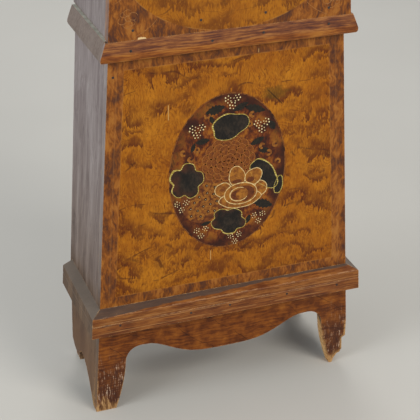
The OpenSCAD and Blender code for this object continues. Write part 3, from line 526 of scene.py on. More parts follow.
def side_material():
    """Side boards and the mouldings' returns: thin grey paint, dust on top, bare wood at the feet. The
    waist's returns, which stand proud of the base, are browner than the boards."""
    g = Graph("weathered_side")
    c, h = grey_side(g)
    top = g.nz.between(0.5, 0.8)
    waist_high = g.z.between(450, 500)
    ledge = g.mix(waist_high, "6f6459", g.mix(g.noise(g.p, 16, 3).between(0.3, 0.7), "9a9a8b", "c8c8b8"))
    proud = (g.x.abs() + g.z * TAPER - BASE_HALF * MM).between(1, 3)
    proud = proud * g.z.between(650, 660) * g.z.between(709, 707)
    c = g.mix(proud * 0.62, c, g.mix(h, "54463a", "85705c"))
    c = g.mix(top * 0.75, c, ledge)
    tip = (g.z + (g.grain(g.p, (1, 1, 0.4), 9, 3) - 0.5) * 80).between(34, 8)
    c = g.mix(tip * 0.85, c, g.mix(h.between(0.4, 0.6), "7d5c3a", "b8925f"))
    c, _ = wear_and_edge_highlight(g, c, 0.0016, 0.54, 0.8)
    scar = g.grain(g.p, (1, 0.6, 0.15), 5, 4, 0.7).between(0.69, 0.75)
    c = g.mix(scar * 0.45, c, "b0a498")
    g.bump(h, 0.45, 0.0007)
    return g.done(c, h * 0.12 + 0.62, Specular_IOR_Level=0.3)


def pine_material(name, upright):
    """Unpainted boards gone brown: flat-sawn grain, knots and dirt. They are glued up from planks: the
    upright ones, which stand behind, from three, and the flat ones from two."""
    g = Graph(name)
    p = g.warp(g.p, 120, 14, 1)
    board = g.x.between(-67, -66) + g.x.between(66, 67) if upright else g.y.between(25, 26)
    q = g.moved(p, g.vec(board * 61, board * 17, board * 313))
    along = 0.035
    squeeze = (1.0, 1.0, along) if upright else (along, 1.0, 1.0)
    field = g.grain(q, squeeze, 60, 1)
    ring = (field * 120).sin() * 0.5 + 0.5
    fibre = g.grain(q, squeeze, 1.8, 4, 0.6)
    tone = g.noise(g.vec(board * 37, 0.0, 0.0), 5, 0)
    shade = ring * 0.14 + fibre * 0.56 + tone * 0.36
    c = g.ramp(shade, [(0.30, "5d442e"), (0.52, "7f6042"), (0.75, "9a7a52")])
    knot = g.cells(g.scaled(q, (1.0, 0.2, 0.45) if upright else (0.45, 1.0, 0.2)), 170)
    c = g.mix(knot.between(0.075, 0.030) * 0.85, c, "3a2213")
    c = g.mix(g.noise(g.p, 150, 3).between(0.48, 0.72) * 0.5, c, "4c3b2c")
    seam = (g.x.abs() - 66.5).line(0, 0.7, 0.6) if upright else g.y.line(25.5, 0.5, 0.4)
    c = g.mix(seam * 0.85, c, "1d140d")
    c, _ = wear_and_edge_highlight(g, c, 0.0015, 0.55, 0.5)
    g.bump(fibre * 0.7 + ring * 0.3 - seam * 2.0, 0.4, 0.0006)
    return g.done(c, fibre * 0.15 + 0.7, Specular_IOR_Level=0.3)


def hood_material():
    """Dark red-brown paint with faint feathering."""
    g = Graph("hood_paint")
    dark, h = red_brown(g)
    c = g.mix(0.34, g.mix(0.25, dark, figured(g)[0]), "6b3f1c")
    c = g.mix(side_of(g) * g.x.abs().between(184, 188) * 0.9, c, grey_side(g)[0])
    c = dusty(g, c)
    c, bare = wear_and_edge_highlight(g, c, 0.0016, 0.56)
    g.bump(h * 0.5 - bare, 0.3, 0.0006)
    return g.varnished(c, h * 0.12 + 0.4 + bare * 0.3, 0.25, 0.05, 0.2)


def metal_material(name, dark, mid, light, rough, metal, brushed=(1, 1, 1), pit=0.3):
    """Cloudy metal, lighter on its edges. brushed squeezes its grain; pit is how rough its surface is."""
    g = Graph(name)
    fine = g.grain(g.p, brushed, 0.8, 3, 0.6)
    cloud = g.noise(g.p, 14, 4, 0.65)
    c = g.ramp(cloud * 0.6 + fine * 0.4, [(0.34, dark), (0.5, mid), (0.68, light)])
    e = g.edge(0.0007)
    c = g.mix(e * 0.5, c, light)
    g.bump(fine * 0.5 + cloud * 0.5, pit, 0.0003)
    return g.done(c, cloud * 0.22 + rough - e * 0.06, metal)


def dial_material():
    """Cream enamel, crazed and stained towards its rim."""
    g = Graph("dial_enamel")
    cloud = g.noise(g.p, 60, 4, 0.6)
    c = g.ramp(cloud, [(0.35, "d8cfb2"), (0.55, "e9e3cd"), (0.7, "efead8")])
    craze = g.cells(g.warp(g.p, 14, 3), 11, "DISTANCE_TO_EDGE").between(0.030, 0.012)
    c = g.mix(craze * 0.30, c, "9a8c6c")
    r = g.far(0, DIAL.z * MM, 1, 1).sqrt()
    c = g.mix(r.between(112, 128) * g.noise(g.p, 12, 4, 0.7).between(0.42, 0.62) * 0.5, c, "8a6f45")
    g.bump(craze * -0.6 + cloud * 0.2, 0.25, 0.0003)
    return g.done(c, 0.24 + cloud * 0.08)


def glass_material():
    """Old window glass, slightly wavy and dusty."""
    g = Graph("window_glass")
    g.bump(g.noise(g.p, 45, 2), 0.12, 0.002)
    dust = g.noise(g.p, 26, 5, 0.7)
    return g.done("f2f6f3", dust.between(0.35, 0.8, 0.02, 0.10), 0.0, Transmission_Weight=1.0, IOR=1.25)


def line_material():
    """Twisted line: slanting strands round the vertical rod."""
    g = Graph("twisted_line")
    strand = (g.z * 2.2 + g.x * 2.0 + g.y * 2.0).sin() * 0.5 + 0.5
    fuzz = g.noise(g.p, 0.6, 2)
    c = g.mix(strand * 0.7 + fuzz * 0.3, "5a452a", "a58a5c")
    g.bump(strand + fuzz * 0.3, 0.7, 0.0006)
    return g.done(c, 0.8)


def plain_paint(name, dark, light, rough=0.42, size=5.0):
    """A brushed spot of paint whose colour drifts from dark to light."""
    g = Graph(name)
    a = g.noise(g.warp(g.p, 12, 3), size, 4, 0.65)
    c = g.ramp(a, [(0.36, dark), (0.64, light)])
    g.bump(a, 0.25, 0.0003)
    return g.varnished(c, a * 0.1 + rough, 0.25, 0.06, 0.2)


def oval_ground_material():
    """Red-brown ground with golden clouds and a darker rim."""
    g = Graph("oval_ground")
    d = ellipse(g, OVAL_Z, OVAL_A, OVAL_B)
    p = g.warp(g.p, 20, 6, 2)
    a = g.grain(p, (1.0, 1.0, 0.6), 7, 4, 0.68)
    b = g.noise(p, 30, 2, 0.5)
    f = (a * 0.5 + b * 0.5).between(0.38, 0.62)
    c = g.ramp(f, [(0.0, "30130a"), (0.4, "54230a"), (0.72, "763b0d"), (1.0, "945813")])
    c = g.mix(d.between(-30, -3) * a.between(0.36, 0.62) * 0.85, c, "2b110a")
    c = g.mix(d.line(-1.0, 0.5, 0.8) * a.between(0.38, 0.55) * 0.6, c, "9a5f26")
    g.bump(a, 0.25, 0.0003)
    return g.varnished(c, a * 0.1 + 0.36, 0.22, 0.06, 0.16)


def leaf_material():
    """Nearly black green, wearing to brown towards the edges of the leaves at the left and bottom."""
    g = Graph("leaf_green")
    p = g.warp(g.p, 14, 3, 2)
    a = g.grain(p, (1.0, 0.4, 0.5), 3.2, 4, 0.65)
    b = g.noise(p, 22, 2, 0.5)
    f = (a * 0.5 + b * 0.5).between(0.36, 0.64)
    c = g.ramp(f, [(0.0, "100c08"), (0.5, "1d1711"), (1.0, "30261c")])
    brown = 0.0
    for cx, cz, r in ((-68, -8, 34), (6, -99, 36)):
        away = g.far(cx, OVAL_Z + cz, r, r).sqrt()
        near = away.between(0.40, 0.95) * away.between(1.45, 1.35)
        brown = near if brown == 0.0 else brown.max(near)
    c = g.mix(brown * b.between(0.30, 0.60) * 0.85, c, "4a2410")
    g.bump(a, 0.3, 0.0003)
    return g.varnished(c, a * 0.1 + 0.42, 0.25, 0.06, 0.2)


def rim_material():
    """Yellow-green brush line with slanting pale hatching."""
    g = Graph("leaf_rim")
    a = g.noise(g.p, 5, 3)
    hatch = (g.x * 0.8 + g.z * 1.6 + a * 3.0).sin().between(-0.1, 0.7)
    c = g.mix(hatch * a.between(0.35, 0.6) * 0.85, g.mix(a, "8a7426", "b39c45"), "dccb82")
    g.bump(hatch * 0.5 + a, 0.3, 0.0003)
    return g.done(c, a * 0.1 + 0.4, Specular_IOR_Level=0.3)


# ------------ drawing in raised paint
def smooth(points):
    """A rounded curve through the points, open at its ends."""
    last, steps = len(points) - 1, 6
    out = []
    for i in range(last):
        a, b, c, d = (Vector(points[max(0, min(last, i + k))]) for k in (-1, 0, 1, 2))
        for t in (j / steps for j in range(steps)):
            out.append((b + (c - a) * t / 2 + (2 * a - 5 * b + 4 * c - d) * t ** 2 / 2
                        + (3 * b - a - 3 * c + d) * t ** 3 / 2)[:])
    return out + [points[-1]]


def ring(cx, cz, rx, rz=None, n=24, a0=0.0, a1=360.0):
    """Points of an ellipse, or of its stretch from a0 to a1 degrees."""
    rz = rx if rz is None else rz
    count = n if abs(a1 - a0) >= 360 else n + 1
    turns = [math.radians(a0 + (a1 - a0) * i / n) for i in range(count)]
    return [(cx + rx * math.cos(t), cz + rz * math.sin(t)) for t in turns]


def polar(r, angle):
    return r * math.cos(math.radians(angle)), r * math.sin(math.radians(angle))


def turned_by(points, cx, cz, angle):
    """The points turned round (0, 0), then moved to (cx, cz)."""
    c, s = polar(1, angle)
    return [(cx + x * c - z * s, cz + x * s + z * c) for x, z in points]


SUNK = 0.05                            # how far a layer's back lies behind its plane


class Layer:
    """Thin raised shapes on an upright plane that faces forward. Points are (x, z) in millimetres."""

    def __init__(self, name, face, origin=(0, 0)):
        self.name, self.face, self.origin = name, face, origin
        self.bm = bmesh.new()

    def at(self, p, lift):
        return self.bm.verts.new(((p[0] + self.origin[0]) / MM, self.face - lift / MM,
                                  (p[1] + self.origin[1]) / MM))

    def fill(self, points, lift):
        """A flat shape with short walls down to the plane."""
        n = len(points)
        loop = [(i, (i + 1) % n) for i in range(n)]
        flat, _, faces, *_ = delaunay_2d_cdt([Vector(p) for p in points], loop, [list(range(n))], 1, 1e-5)
        top = [self.at(p, lift) for p in flat]
        back = [self.at(p, -SUNK) for p in flat]
        used = set()
        for f in faces:
            self.bm.faces.new([top[i] for i in f])
            self.bm.faces.new([back[i] for i in reversed(f)])
            used.update((f[i], f[(i + 1) % len(f)]) for i in range(len(f)))
        for i, j in used:
            if (j, i) not in used:
                self.bm.faces.new((top[j], top[i], back[i], back[j]))

    def stroke(self, points, width, lift, closed=False, base=0.0, taper=0.55):
        """A brush line, highest along its middle; open ones thin out at their ends."""
        n = len(points)
        rows = []
        for i, p in enumerate(points):
            a = points[(i - 1) % n] if closed else points[max(0, i - 1)]
            b = points[(i + 1) % n] if closed else points[min(n - 1, i + 1)]
            dx, dz = b[0] - a[0], b[1] - a[1]
            d = math.hypot(dx, dz) or 1.0
            nx, nz = -dz / d, dx / d
            w = width / 2 * (1 + 0.22 * math.sin(i * 0.9 + p[0]))
            if not closed:
                w *= taper + (1 - taper) * math.sin(math.pi * i / (n - 1)) ** 0.6
            rows.append([self.at((p[0] + nx * w, p[1] + nz * w), base), self.at(p, lift),
                         self.at((p[0] - nx * w, p[1] - nz * w), base), self.at(p, -SUNK)])
        for i in range(n if closed else n - 1):
            r, s = rows[i], rows[(i + 1) % n]
            for k in range(4):
                self.bm.faces.new((r[k], r[(k + 1) % 4], s[(k + 1) % 4], s[k]))
        if not closed:
            self.bm.faces.new(rows[0])
            self.bm.faces.new(rows[-1][::-1])

    def dot(self, x, z, r, lift, base=0.0):
        """A small raised blob of paint."""
        n = 9
        rim = [self.at(p, base) for p in ring(x, z, r, n=n)]
        mid = [self.at(p, lift * 0.8) for p in ring(x, z, r * 0.6, n=n)]
        top, back = self.at((x, z), lift), self.at((x, z), -SUNK)
        for i in range(n):
            j = (i + 1) % n
            self.bm.faces.new((rim[i], rim[j], mid[j], mid[i]))
            self.bm.faces.new((mid[i], mid[j], top))
            self.bm.faces.new((rim[j], rim[i], back))

    def done(self, material, body, slot):
        piece(self.name, self.bm, material, body)


def mesh_object(name, bm, material, rounded=False):
    """Turns the built mesh into an object of the scene."""
    mesh = bpy.data.meshes.new(name)
    bm.to_mesh(mesh)
    bm.free()
    mesh.materials.append(material)
    if rounded:
        mesh.shade_smooth()
    o = bpy.data.objects.new(name, mesh)
    bpy.context.scene.collection.objects.link(o)
    return o


def piece(name, bm, material, body):
    """A mesh that moves with one of the clock's bodies."""
    bmesh.ops.recalc_face_normals(bm, faces=bm.faces)
    o = mesh_object(name, bm, material)
    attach(o, body)


# ------------ the painted oval
# A generic group of leaves, flowers and dots. Places are (x, z) in millimetres from the oval's middle.
# Leaves: place, half sizes, turn in degrees, lobes, depth of clefts, height, and the rim's thick stretch
LEAVES = [((3, 85), (35, 24), 12, 3, 0.16, 0.26, (80, 200, 2.8)),
          ((-75, -6), (31, 34), 8, 5, 0.24, 0.26, (85, 205, 3.2)),
          ((67, -14), (36, 19), -52, 3, 0.10, 0.26, (20, 160, 2.8)),
          ((95, -40), (18, 8), 80, 3, 0.12, 0.24, None),
          ((2, -95), (34, 25), -20, 5, 0.20, 0.26, (250, 330, 2.4))]
# Petals behind the flower's cup: direction from its middle in degrees, reach, half sizes, height
PETALS = [(103, 27, (20, 15), 0.30), (42, 33, (17, 15), 0.34), (172, 32, (15, 14), 0.38),
          (-4, 38, (12, 15), 0.30), (-90, 18, (16, 40), 0.44)]
FLOWER = (23, -38)
CUP, CUP_LIFT = (30, 21), 0.56
BLOSSOM_PATCH = (-46, -46)             # the middle of the small blossoms
BLOSSOM_COUNT, BLOSSOM_REACH = 21, (33, 37)
GOLDEN_ANGLE = 137.5
# Each spray has three dotted rings
SPRAYS = [(7, 131), (-56, 86), (61, 80), (-84, -50), (-49, -107), (14, -129), (58, -96)]
# Small curls: place, and the direction in degrees where each begins
HOOKS = [(-80, 47, 60), (-57, 50, 200), (-67, 34, 100), (63, 39, 30), (74, 25, 230), (87, 40, 80),
         (92, 6, 300), (44, 101, 60), (-38, 110, 150), (38, 84, 240)]
# Pointed leaves: place, turn in degrees, length, and half width as a share of the length
SPRIGS = [(-24, 118, 14, 36, 0.26), (22, 118, 24, 30, 0.22), (48, 111, -18, 40, 0.20),
          (-46, 64, 6, 26, 0.24), (53, 50, 22, 28, 0.24), (66, -72, -20, 40, 0.24), (80, 76, -62, 20, 0.35),
          (39, -98, 70, 18, 0.30), (-63, 55, 70, 18, 0.25), (66, 31, -10, 22, 0.28),
          (-40, -93, 12, 20, 0.22), (-30, 101, -70, 16, 0.3)]
ROSE = (1, 21)
# The rose's rows of scallops: the row's radius and how many scallops it has
ROSE_ROWS = ((41, 15), (33, 13), (25, 10), (17, 8), (9, 5), (2, 2))


def lobed(place, half, turn, lobes, depth, a0=0.0, a1=360.0):
    """The outline of an oval with rounded lobes and narrow clefts, or its stretch from a0 to a1 degrees."""
    out = []
    for x, z in ring(0, 0, 1, n=54, a0=a0, a1=a1):
        r = 1 - depth * abs(math.sin(lobes * math.atan2(z, x) / 2)) ** 5
        out.append((half[0] * r * x, half[1] * r * z))
    return turned_by(out, *place, turn)


def crescent(cx, cz, rx, rz, shift, a0, a1):
    """A sickle between an arc and the same arc moved sideways by shift."""
    return ring(cx, cz, rx, rz, n=10, a0=a0, a1=a1) + ring(cx - shift, cz, rx, rz, n=10, a0=a1, a1=a0)


def blossom_places():
    """Places of the small blossoms, packed as seeds in a flower head, but for those under a leaf."""
    out = []
    for i in range(BLOSSOM_COUNT):
        x, z = polar(math.sqrt((i + 0.5) / BLOSSOM_COUNT), GOLDEN_ANGLE * i)
        x = BLOSSOM_PATCH[0] + BLOSSOM_REACH[0] * x
        z = BLOSSOM_PATCH[1] + BLOSSOM_REACH[1] * z
        if all(math.hypot((x - cx) / a, (z - cz) / b) > 1.15 for (cx, cz), (a, b), *_ in LEAVES):
            out.append((x, z))
    return out


def petal_outline(angle, reach, half):
    x, z = polar(reach, angle)
    return lobed((FLOWER[0] + x, FLOWER[1] + z), half, angle, 3, 0.08)


def leaf_shape(length, width, teeth):
    """A pointed leaf along +x with a toothed edge."""
    edge = []
    for i in range(teeth * 2 + 1):
        t = i / (teeth * 2)
        w = length * width * math.sin(math.pi * t) ** 0.8 * (1.0 if i % 2 else 0.72)
        edge.append((length * (t - 0.5), w))
    return edge + [(x, -w) for x, w in edge[-2:0:-1]]


def rosette(layer, x, z, r):
    """A loose flower of loops in one thin line."""
    for i in range(6):
        dx, dz = polar(r * 0.56, 60 * i + 20 + 9 * math.sin(i * 2.1 + x))
        size = r * (0.38 + 0.07 * math.sin(i * 1.7 + z))
        layer.stroke(ring(x + dx, z + dz, size, size * 0.8, n=14, a0=i * 40, a1=i * 40 + 310), 0.9, 0.12)
    layer.stroke(ring(x, z, r * 0.25, n=10, a0=30, a1=340), 0.9, 0.12)


def paint_oval():
    """The oval's flowers, from the ground up. Later layers stand higher and cover the ones before."""
    def layer(name):
        return Layer(name, FRONT, (0, OVAL_Z))

    def finish(made, material):
        made.done(material, "case", "painted_front")

    ground = layer("oval_ground")
    ground.fill(ring(0, 0, OVAL_A, OVAL_B, n=96), 0.10)
    finish(ground, oval_ground_material())

    sprigs = layer("oval_dark_sprigs")
    for x, z, a, size, width in SPRIGS:
        sprigs.fill(turned_by(leaf_shape(size, width, 6), x, z, a), 0.13)
    finish(sprigs, plain_paint("sprig_shadow", "130f0b", "251f14", size=4.0))

    field = layer("oval_rose_ground")
    field.fill(ring(ROSE[0], ROSE[1] + 3, 47, 43, n=48), 0.12)
    field.fill(ring(*BLOSSOM_PATCH, BLOSSOM_REACH[0] + 7, BLOSSOM_REACH[1] + 7, n=48), 0.14)
    finish(field, plain_paint("rose_ground", "4c220c", "7a4214", size=7.0))

    scales = layer("oval_rose_scales")
    scales.fill(ring(ROSE[0], ROSE[1] + 1, 46, 42, n=48), 0.13)
    edges = layer("oval_rose_edges")
    for i, (r, n) in enumerate(ROSE_ROWS):
        for k in range(n):
            a = 360 * (k + 0.5 * (i % 2)) / n
            wide = 2 * math.pi * r / n * 0.56 if n > 2 else 3.4
            dx, dz = polar(r, a)
            cx, cz = ROSE[0] + dx, ROSE[1] + 0.93 * dz
            lift = 0.14 + 0.012 * i
            scales.fill(turned_by(ring(0, 0, wide * 0.80, wide, n=14), cx, cz, a), lift + 0.005)
            arc = turned_by(ring(0, 0, wide * 0.80, wide, n=10, a0=-105, a1=105), cx, cz, a)
            edges.stroke(arc, 1.15, lift + 0.06, base=lift)
    blossoms = layer("oval_blossoms")
    for x, z in blossom_places():
        for k in range(5):
            dx, dz = polar(4.6, 72 * k + x * 7)
            blossoms.fill(ring(x + dx, z + dz, 3.5, n=9), 0.16 + 0.01 * k)
    for x, z, a in HOOKS:
        blossoms.stroke(ring(x, z, 4.2, n=12, a0=a, a1=a + 250), 4.8, 0.2, base=0.12)
    finish(scales, plain_paint("rose_brown", "5c2c0e", "85490f", size=4.0))
    finish(edges, plain_paint("rose_edge", "7e4618", "a66a2b", size=3.0))
    finish(blossoms, plain_paint("blossom_gold", "6e3c10", "9c631e", size=4.0))

    hearts = layer("oval_flower_hearts")
    for x, z in blossom_places():
        hearts.fill(ring(x, z, 2.7, n=10), 0.25)
    for x, z, a in HOOKS:
        hearts.fill(ring(x + 1.0, z, 2.0, n=9), 0.17)
    finish(hearts, plain_paint("flower_heart", "2a1008", "4a1f0c"))

    leaves = layer("oval_leaves")
    rims = layer("oval_leaf_rims")
    for *shape, lift, thick in LEAVES:
        leaves.fill(lobed(*shape), lift)
        rims.stroke(lobed(*shape), 1.35, 0.36, True, base=0.24)
        if thick:
            rims.stroke(lobed(*shape, *thick[:2]), thick[2], 0.40, base=0.24)
    finish(leaves, leaf_material())
    finish(rims, rim_material())

    petals = layer("oval_petals")
    lines = layer("oval_petal_lines")
    for *shape, lift in PETALS:
        outline = petal_outline(*shape)
        petals.fill(outline, lift)
        lines.stroke(outline, 1.6, lift + 0.10, True, base=lift - 0.05)
    cup = lobed((FLOWER[0] + 1, FLOWER[1] - 7), CUP, 0, 2, 0.05)
    petals.fill(cup, CUP_LIFT)
    lines.stroke(cup, 1.9, CUP_LIFT + 0.10, True, base=CUP_LIFT - 0.05)
    mouth = ring(FLOWER[0] - 2, FLOWER[1] - 8, 17, 13, a0=60, a1=330)
    lines.stroke(mouth, 1.7, CUP_LIFT + 0.16, base=CUP_LIFT)
    finish(petals, plain_paint("petal_amber", "6e3a10", "a3681f", size=9.0))

    shade = layer("oval_petal_shade")
    shade.fill(crescent(FLOWER[0] + 7, FLOWER[1] - 8, 20, 15, 12, -80, 80), CUP_LIFT + 0.07)
    shade.fill(crescent(FLOWER[0] - 3, FLOWER[1] - 9, 14, 10, -9, 110, 250), CUP_LIFT + 0.07)
    shade.fill(ring(FLOWER[0] - 6, FLOWER[1] + 17, 9, 4, n=16), PETALS[0][3] + 0.02)
    shade.fill(ring(FLOWER[0] + 19, FLOWER[1] + 17, 7, 5, n=16), PETALS[1][3] + 0.02)
    finish(shade, plain_paint("petal_shade", "4d230b", "6b3510", size=6.0))
    finish(lines, plain_paint("petal_line", "b8935a", "e6cd92", size=3.0))

    hatch = layer("oval_hatching")
    lift = PETALS[4][3]
    for k in range(9):
        x = FLOWER[0] + 5.0 * (k - 4)
        z = FLOWER[1] - 30 + 0.012 * (x - FLOWER[0]) ** 2
        hatch.stroke(ring(x, z, 2.0, 2.8, n=10, a0=-60, a1=210), 0.8, lift + 0.08, base=lift - 0.04)
    finish(hatch, plain_paint("hatch_line", "4a2a12", "7a5528", size=3.0))

    dots = layer("oval_dots")
    rings = [(x + dx, z + dz) for x, z in SPRAYS for dx, dz in ((-8, 3), (8, 4), (0, -9))]
    for x, z in rings:
        turn = x * 13 + z * 7
        faint = 0.78 if z < -40 else 0.95
        for k in range(6):
            dx, dz = polar((5.9 + 0.7 * math.sin(k * 2 + x)) * faint, 60 * k + turn)
            dots.dot(x + dx, z + dz, (1.45 + 0.25 * math.sin(k + z)) * faint, 0.34)
        dots.dot(x, z, 1.5 * faint, 0.34)
    for x, z in blossom_places():
        dots.dot(x + 0.4, z - 0.3, 0.95, 0.32, base=0.2)
    finish(dots, plain_paint("dot_cream", "c9b274", "f0e2b0", size=3.0))


def paint_trunk():
    lines = Layer("corner_flowers", TRUNK_FRONT)
    w0 = WAIST * MM
    rosette(lines, -176, w0 + 36, 17)
    rosette(lines, 174, w0 + 30, 17)
    top = high("trunk_rail_upper").z * MM - 78
    for side in (-1, 1):
        for bend in ([(128, 30), (137, 21), (150, 12), (168, 3)],
                     [(196, 62), (188, 66), (180, 74), (176, 90)]):
            lines.stroke(smooth([(side * x, w0 + z) for x, z in bend]), 0.9, 0.12)
        rosette(lines, side * 124, top, 13)
    lines.done(plain_paint("corner_line", "7d4a1c", "a9743a", size=3.0), "case", "painted_front")


# ------------ nails, dial, lines
def nail(bm, x, y, z, r, out=-1):
    """A hand-made nail's head, r in millimetres; out is -1 on a face that looks forward, 1 backward."""
    n = 9
    rows = []
    for rr, h in ((r, 0.0), (r * 0.93, 0.22), (r * 0.5, 0.38)):
        rows.append([])
        for i in range(n):
            rough = rr * (1 + 0.10 * math.sin(i * 2.3 + x * 900))
            angle = 2 * math.pi * i / n
            rows[-1].append(bm.verts.new((x + rough * math.cos(angle) / MM, y + out * h / MM,
                                          z + rr * math.sin(angle) / MM)))
    top = bm.verts.new((x, y + out * 0.4 / MM, z))
    under = bm.verts.new((x, y - out * 0.6 / MM, z))
    for a, b in zip(rows, rows[1:]):
        for i in range(n):
            bm.faces.new((a[i], a[(i + 1) % n], b[(i + 1) % n], b[i]))
    for i in range(n):
        bm.faces.new((rows[-1][i], rows[-1][(i + 1) % n], top))
        bm.faces.new((rows[0][(i + 1) % n], rows[0][i], under))


# Nails in the front, (x, z) in millimetres
TRUNK_NAILS = ((-168, 722.9), (-54.9, 726.9), (55.8, 726.8), (167.9, 722.2))
WAIST_NAILS = ((-173, 690.5), (-36.5, 691.1), (52, 694.3), (168, 695.2))
BORDER_NAILS = ((-198, 642),)
PLINTH_NAILS = ((-205, 187), (-74, 185), (0, 186), (111, 186), (211, 185))
BACK_NAIL_ROWS = range(180, 1650, 145)
FULL_ROWS = (180, 760, 1630)           # these have nails in the middle too


def back_half(z):
    """Half the back board's width at a height: it follows the base, then the trunk."""
    return (base_w(z) if z < WAIST else trunk_w(z)) - BACK_INSET


def nails(material):
    bm = bmesh.new()
    rows = ((TRUNK_NAILS, TRUNK_FRONT), (WAIST_NAILS, low("waist_moulding_front").y + 0.0002),
            (PLINTH_NAILS, low("plinth_moulding_front").y), (BORDER_NAILS, FRONT))
    for row, face in rows:
        for x, z in row:
            nail(bm, x / MM, face, z / MM, 2.3)
    rear = high("back_board").y
    for z in BACK_NAIL_ROWS:
        half = back_half(z / MM)
        for k in (-1.0, -0.34, 0.34, 1.0):
            if abs(k) == 1.0 or z in FULL_ROWS:
                nail(bm, k * (half - 0.011), rear, z / MM + 0.004 * math.sin(z * k), 2.6, 1)
    piece("nail_heads", bm, material, "case")
    bm = bmesh.new()
    for x in (-0.17, 0.0, 0.17):
        nail(bm, x, low("hood_top").y - 0.018, low("cornice").z + 0.007, 2.2)
    piece("cornice_nails", bm, material, "hood")


# The dial's radii in millimetres: numerals, the two rings with the minutes between them, the inner ring
NUMERAL_R, MINUTES_IN, MINUTES_OUT, INNER_R = 92, 109, 116, 72
NUMERALS = ["XII", "I", "II", "III", "IIII", "V", "VI", "VII", "VIII", "IX", "X", "XI"]


def numeral(layer, text, cx, cz, angle, h):
    """Roman strokes: thick uprights, thin slants, small serifs."""
    wide = {"I": 0.30, "V": 0.72, "X": 0.72}
    total = sum(wide[c] for c in text) * h
    x = -total / 2

    def bar(points, w):
        layer.stroke(turned_by(points, cx, cz, angle), w, 0.16, taper=1.0)

    for c in text:
        w = wide[c] * h
        m = x + w / 2
        if c == "I":
            bar([(m, -h / 2), (m, 0), (m, h / 2)], 2.9)
            for s in (-1, 1):
                bar([(m - 2.4, s * h / 2), (m, s * h / 2), (m + 2.4, s * h / 2)], 0.9)
        else:
            reach = w * 0.36
            foot = 0 if c == "V" else reach
            bar([(m - reach, h / 2), (m + foot, -h / 2)], 3.0)
            bar([(m + reach, h / 2), (m - foot, -h / 2)], 1.2)
            for s in ((1,) if c == "V" else (1, -1)):
                for u in (-reach, reach):
                    bar([(m + u - 2.2, s * h / 2), (m + u + 2.2, s * h / 2)], 0.9)
        x += w


def dial_marks(material):
    """Numerals, minute marks and a small star of petals."""
    ink = Layer("dial_numerals", DIAL_FRONT, (0, DIAL.z * MM))
    for i, text in enumerate(NUMERALS):
        a = 90 - 30 * i
        numeral(ink, text, *polar(NUMERAL_R, a), a - 90, 23)
    for r, w in ((MINUTES_IN, 0.9), (MINUTES_OUT, 0.9), (INNER_R, 0.8)):
        ink.stroke(ring(0, 0, r, n=120), w, 0.14, True)
    for i in range(60):
        mark = [polar(MINUTES_IN, 6 * i), polar(MINUTES_OUT, 6 * i)]
        ink.stroke(mark, 0.9 if i % 5 else 2.4, 0.15, taper=1.0)
    ink.done(material, "case", "dial_enamel")
    flower = Layer("dial_flower", DIAL_FRONT, (0, DIAL.z * MM))
    petal = smooth([(26, 0), (40, 5), (58, 0), (40, -5), (26, 0)])
    for a in range(0, 360, 45):
        flower.stroke(turned_by(petal, 0, 0, a + 22.5), 1.0, 0.14)
        flower.dot(*polar(62, a), 1.8, 0.3)
    flower.done(plain_paint("dial_red", "6d2413", "8f3a1c", 0.35), "case", "dial_enamel")


def weight_line(name, node, material):
    """A three-strand line from the drum to the weight's ring."""
    a, b = low(node), high(node)
    cx, cy, r = (a.x + b.x) / 2, (a.y + b.y) / 2, (b.x - a.x) / 2
    step, lay, sides = 0.0015, 700, 12   # a row's height and the twist per metre; the points of one row
    bm = bmesh.new()
    rows = []
    count = int((b.z - a.z) / step)
    for i in range(count + 1):
        z = a.z + (b.z - a.z) * i / count
        row = []
        for j in range(sides):
            t = 2 * math.pi * j / sides
            k = 0.86 + 0.14 * math.cos(3 * (t - z * lay))
            row.append(bm.verts.new((cx + r * k * math.cos(t), cy + r * k * math.sin(t), z)))
        rows.append(row)
    for u, v in zip(rows, rows[1:]):
        for j in range(sides):
            bm.faces.new((u[j], u[(j + 1) % sides], v[(j + 1) % sides], v[j]))
    bm.faces.new(rows[0][::-1])
    bm.faces.new(rows[-1])
    o = mesh_object(name, bm, material, True)
    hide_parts(node)
    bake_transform(o)


# ------------ the floor
def make_floor():
    bm = bmesh.new()
    bmesh.ops.create_grid(bm, x_segments=8, y_segments=8, size=6)
    g = Graph("floor_paint")
    paint = g.mix(g.noise(g.p, 600, 3), "b9b6ae", "c4c1b9")
    mesh_object("floor", bm, g.done(paint, 0.8))


# ------------ everything together
make_camera()
make_light()
make_floor()

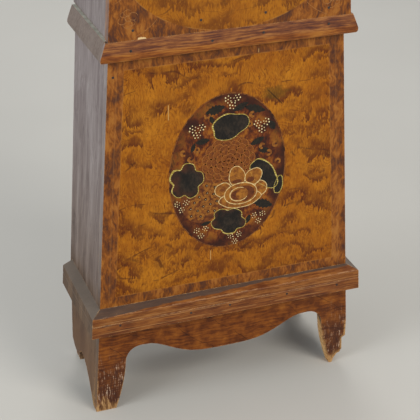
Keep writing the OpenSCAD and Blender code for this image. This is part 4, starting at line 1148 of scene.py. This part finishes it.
iron = metal_material("iron", "131211", "23211e", "3c3732", 0.42, 0.85, pit=0.6)
steel = metal_material("steel", "4c4a46", "76726b", "a19c92", 0.26, 1.0, (1, 0.2, 1))
blued = metal_material("blued_steel", "0b0e18", "151a2b", "2c3552", 0.22, 1.0)
brass = metal_material("brass", "6b4a1a", "a17a34", "c9a257", 0.22, 1.0)
bell_metal = metal_material("bell_metal", "6f6144", "a3946c", "c8bb92", 0.22, 1.0)
line = line_material()
front = front_material()
trunk = trunk_material()
plinth = moulding_material("plinth_paint", ("5a2b0f", "7b461a", "99612b"), ("502610", "733e17", "905825"),
                           192, 5, scored=(196.5, 189, 176))
waist = moulding_material("waist_paint", ("482118", "77431f", "9e6630"), ("602e0e", "8c4d18", "ab6e29"),
                          low("waist_moulding_front").z * MM + 13, 3)
throat = moulding_material("throat_paint", ("3f1c12", "653419", "8a5426"), ("4f270f", "73401a", "915c26"),
                           low("throat_moulding").z * MM + 25, 10)
cornice = moulding_material("cornice_paint", ("38190f", "592b14", "794a1e"), ("4d250e", "6e3c15", "875323"),
                            low("cornice").z * MM + 24, 10)
side = side_material()
pine = pine_material("bare_pine", True)
flat_pine = pine_material("bare_pine_flat", False)
hood = hood_material()
pane = glass_material()
enamel = dial_material()

USES = {
    front: ["base_front"],
    trunk: ["trunk_rail_lower", "trunk_rail_upper", "trunk_stile_left", "trunk_stile_right", "trunk_door"],
    plinth: ["plinth_moulding_front"],
    waist: ["waist_moulding_front"],
    throat: ["throat_moulding"],
    cornice: ["cornice"],
    side: ["base_side_left", "base_side_right", "plinth_moulding_returns", "waist_moulding_returns",
           "trunk_side_left", "trunk_side_right", "hood_side_left", "hood_side_right"],
    hood: ["hood_front", "hood_door", "door_bead"],
    pine: ["back_board"],
    flat_pine: ["base_floor", "seat_board", "hood_top"],
    pane: ["door_glass", "hood_glass"],
    iron: ["door_hinge_plates", "door_hinge_leaves", "hood_hinge_plates", "hood_hinge_leaves",
           "time_weight", "strike_weight"],
    steel: ["lock_bolt", "door_key", "hammer", "anchor", "pendulum_rod"],
    blued: ["minute_hand", "hour_hand"],
    brass: ["door_lock", "hood_knob", "front_plate", "back_plate", "plate_pillars", "back_cock",
            "centre_wheel", "hour_wheel", "minute_wheel", "third_wheel", "escape_wheel", "time_great_wheel",
            "time_drum", "strike_drum", "pendulum_bob", "rating_nut"],
    bell_metal: ["bell"],
    enamel: ["dial"],
    line: ["time_line", "strike_line"],
}
for material, names in USES.items():
    for name in names:
        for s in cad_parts[name].material_slots:
            s.material = material

paint_oval()
paint_trunk()
nails(metal_material("nail_iron", "221f20", "3a3433", "544b47", 0.55, 0.5, pit=0.5))
dial_marks(plain_paint("dial_ink", "0d0c0c", "1c1a18", 0.35))
weight_line("time_line_twist", "time_line", line)
weight_line("strike_line_twist", "strike_line", line)
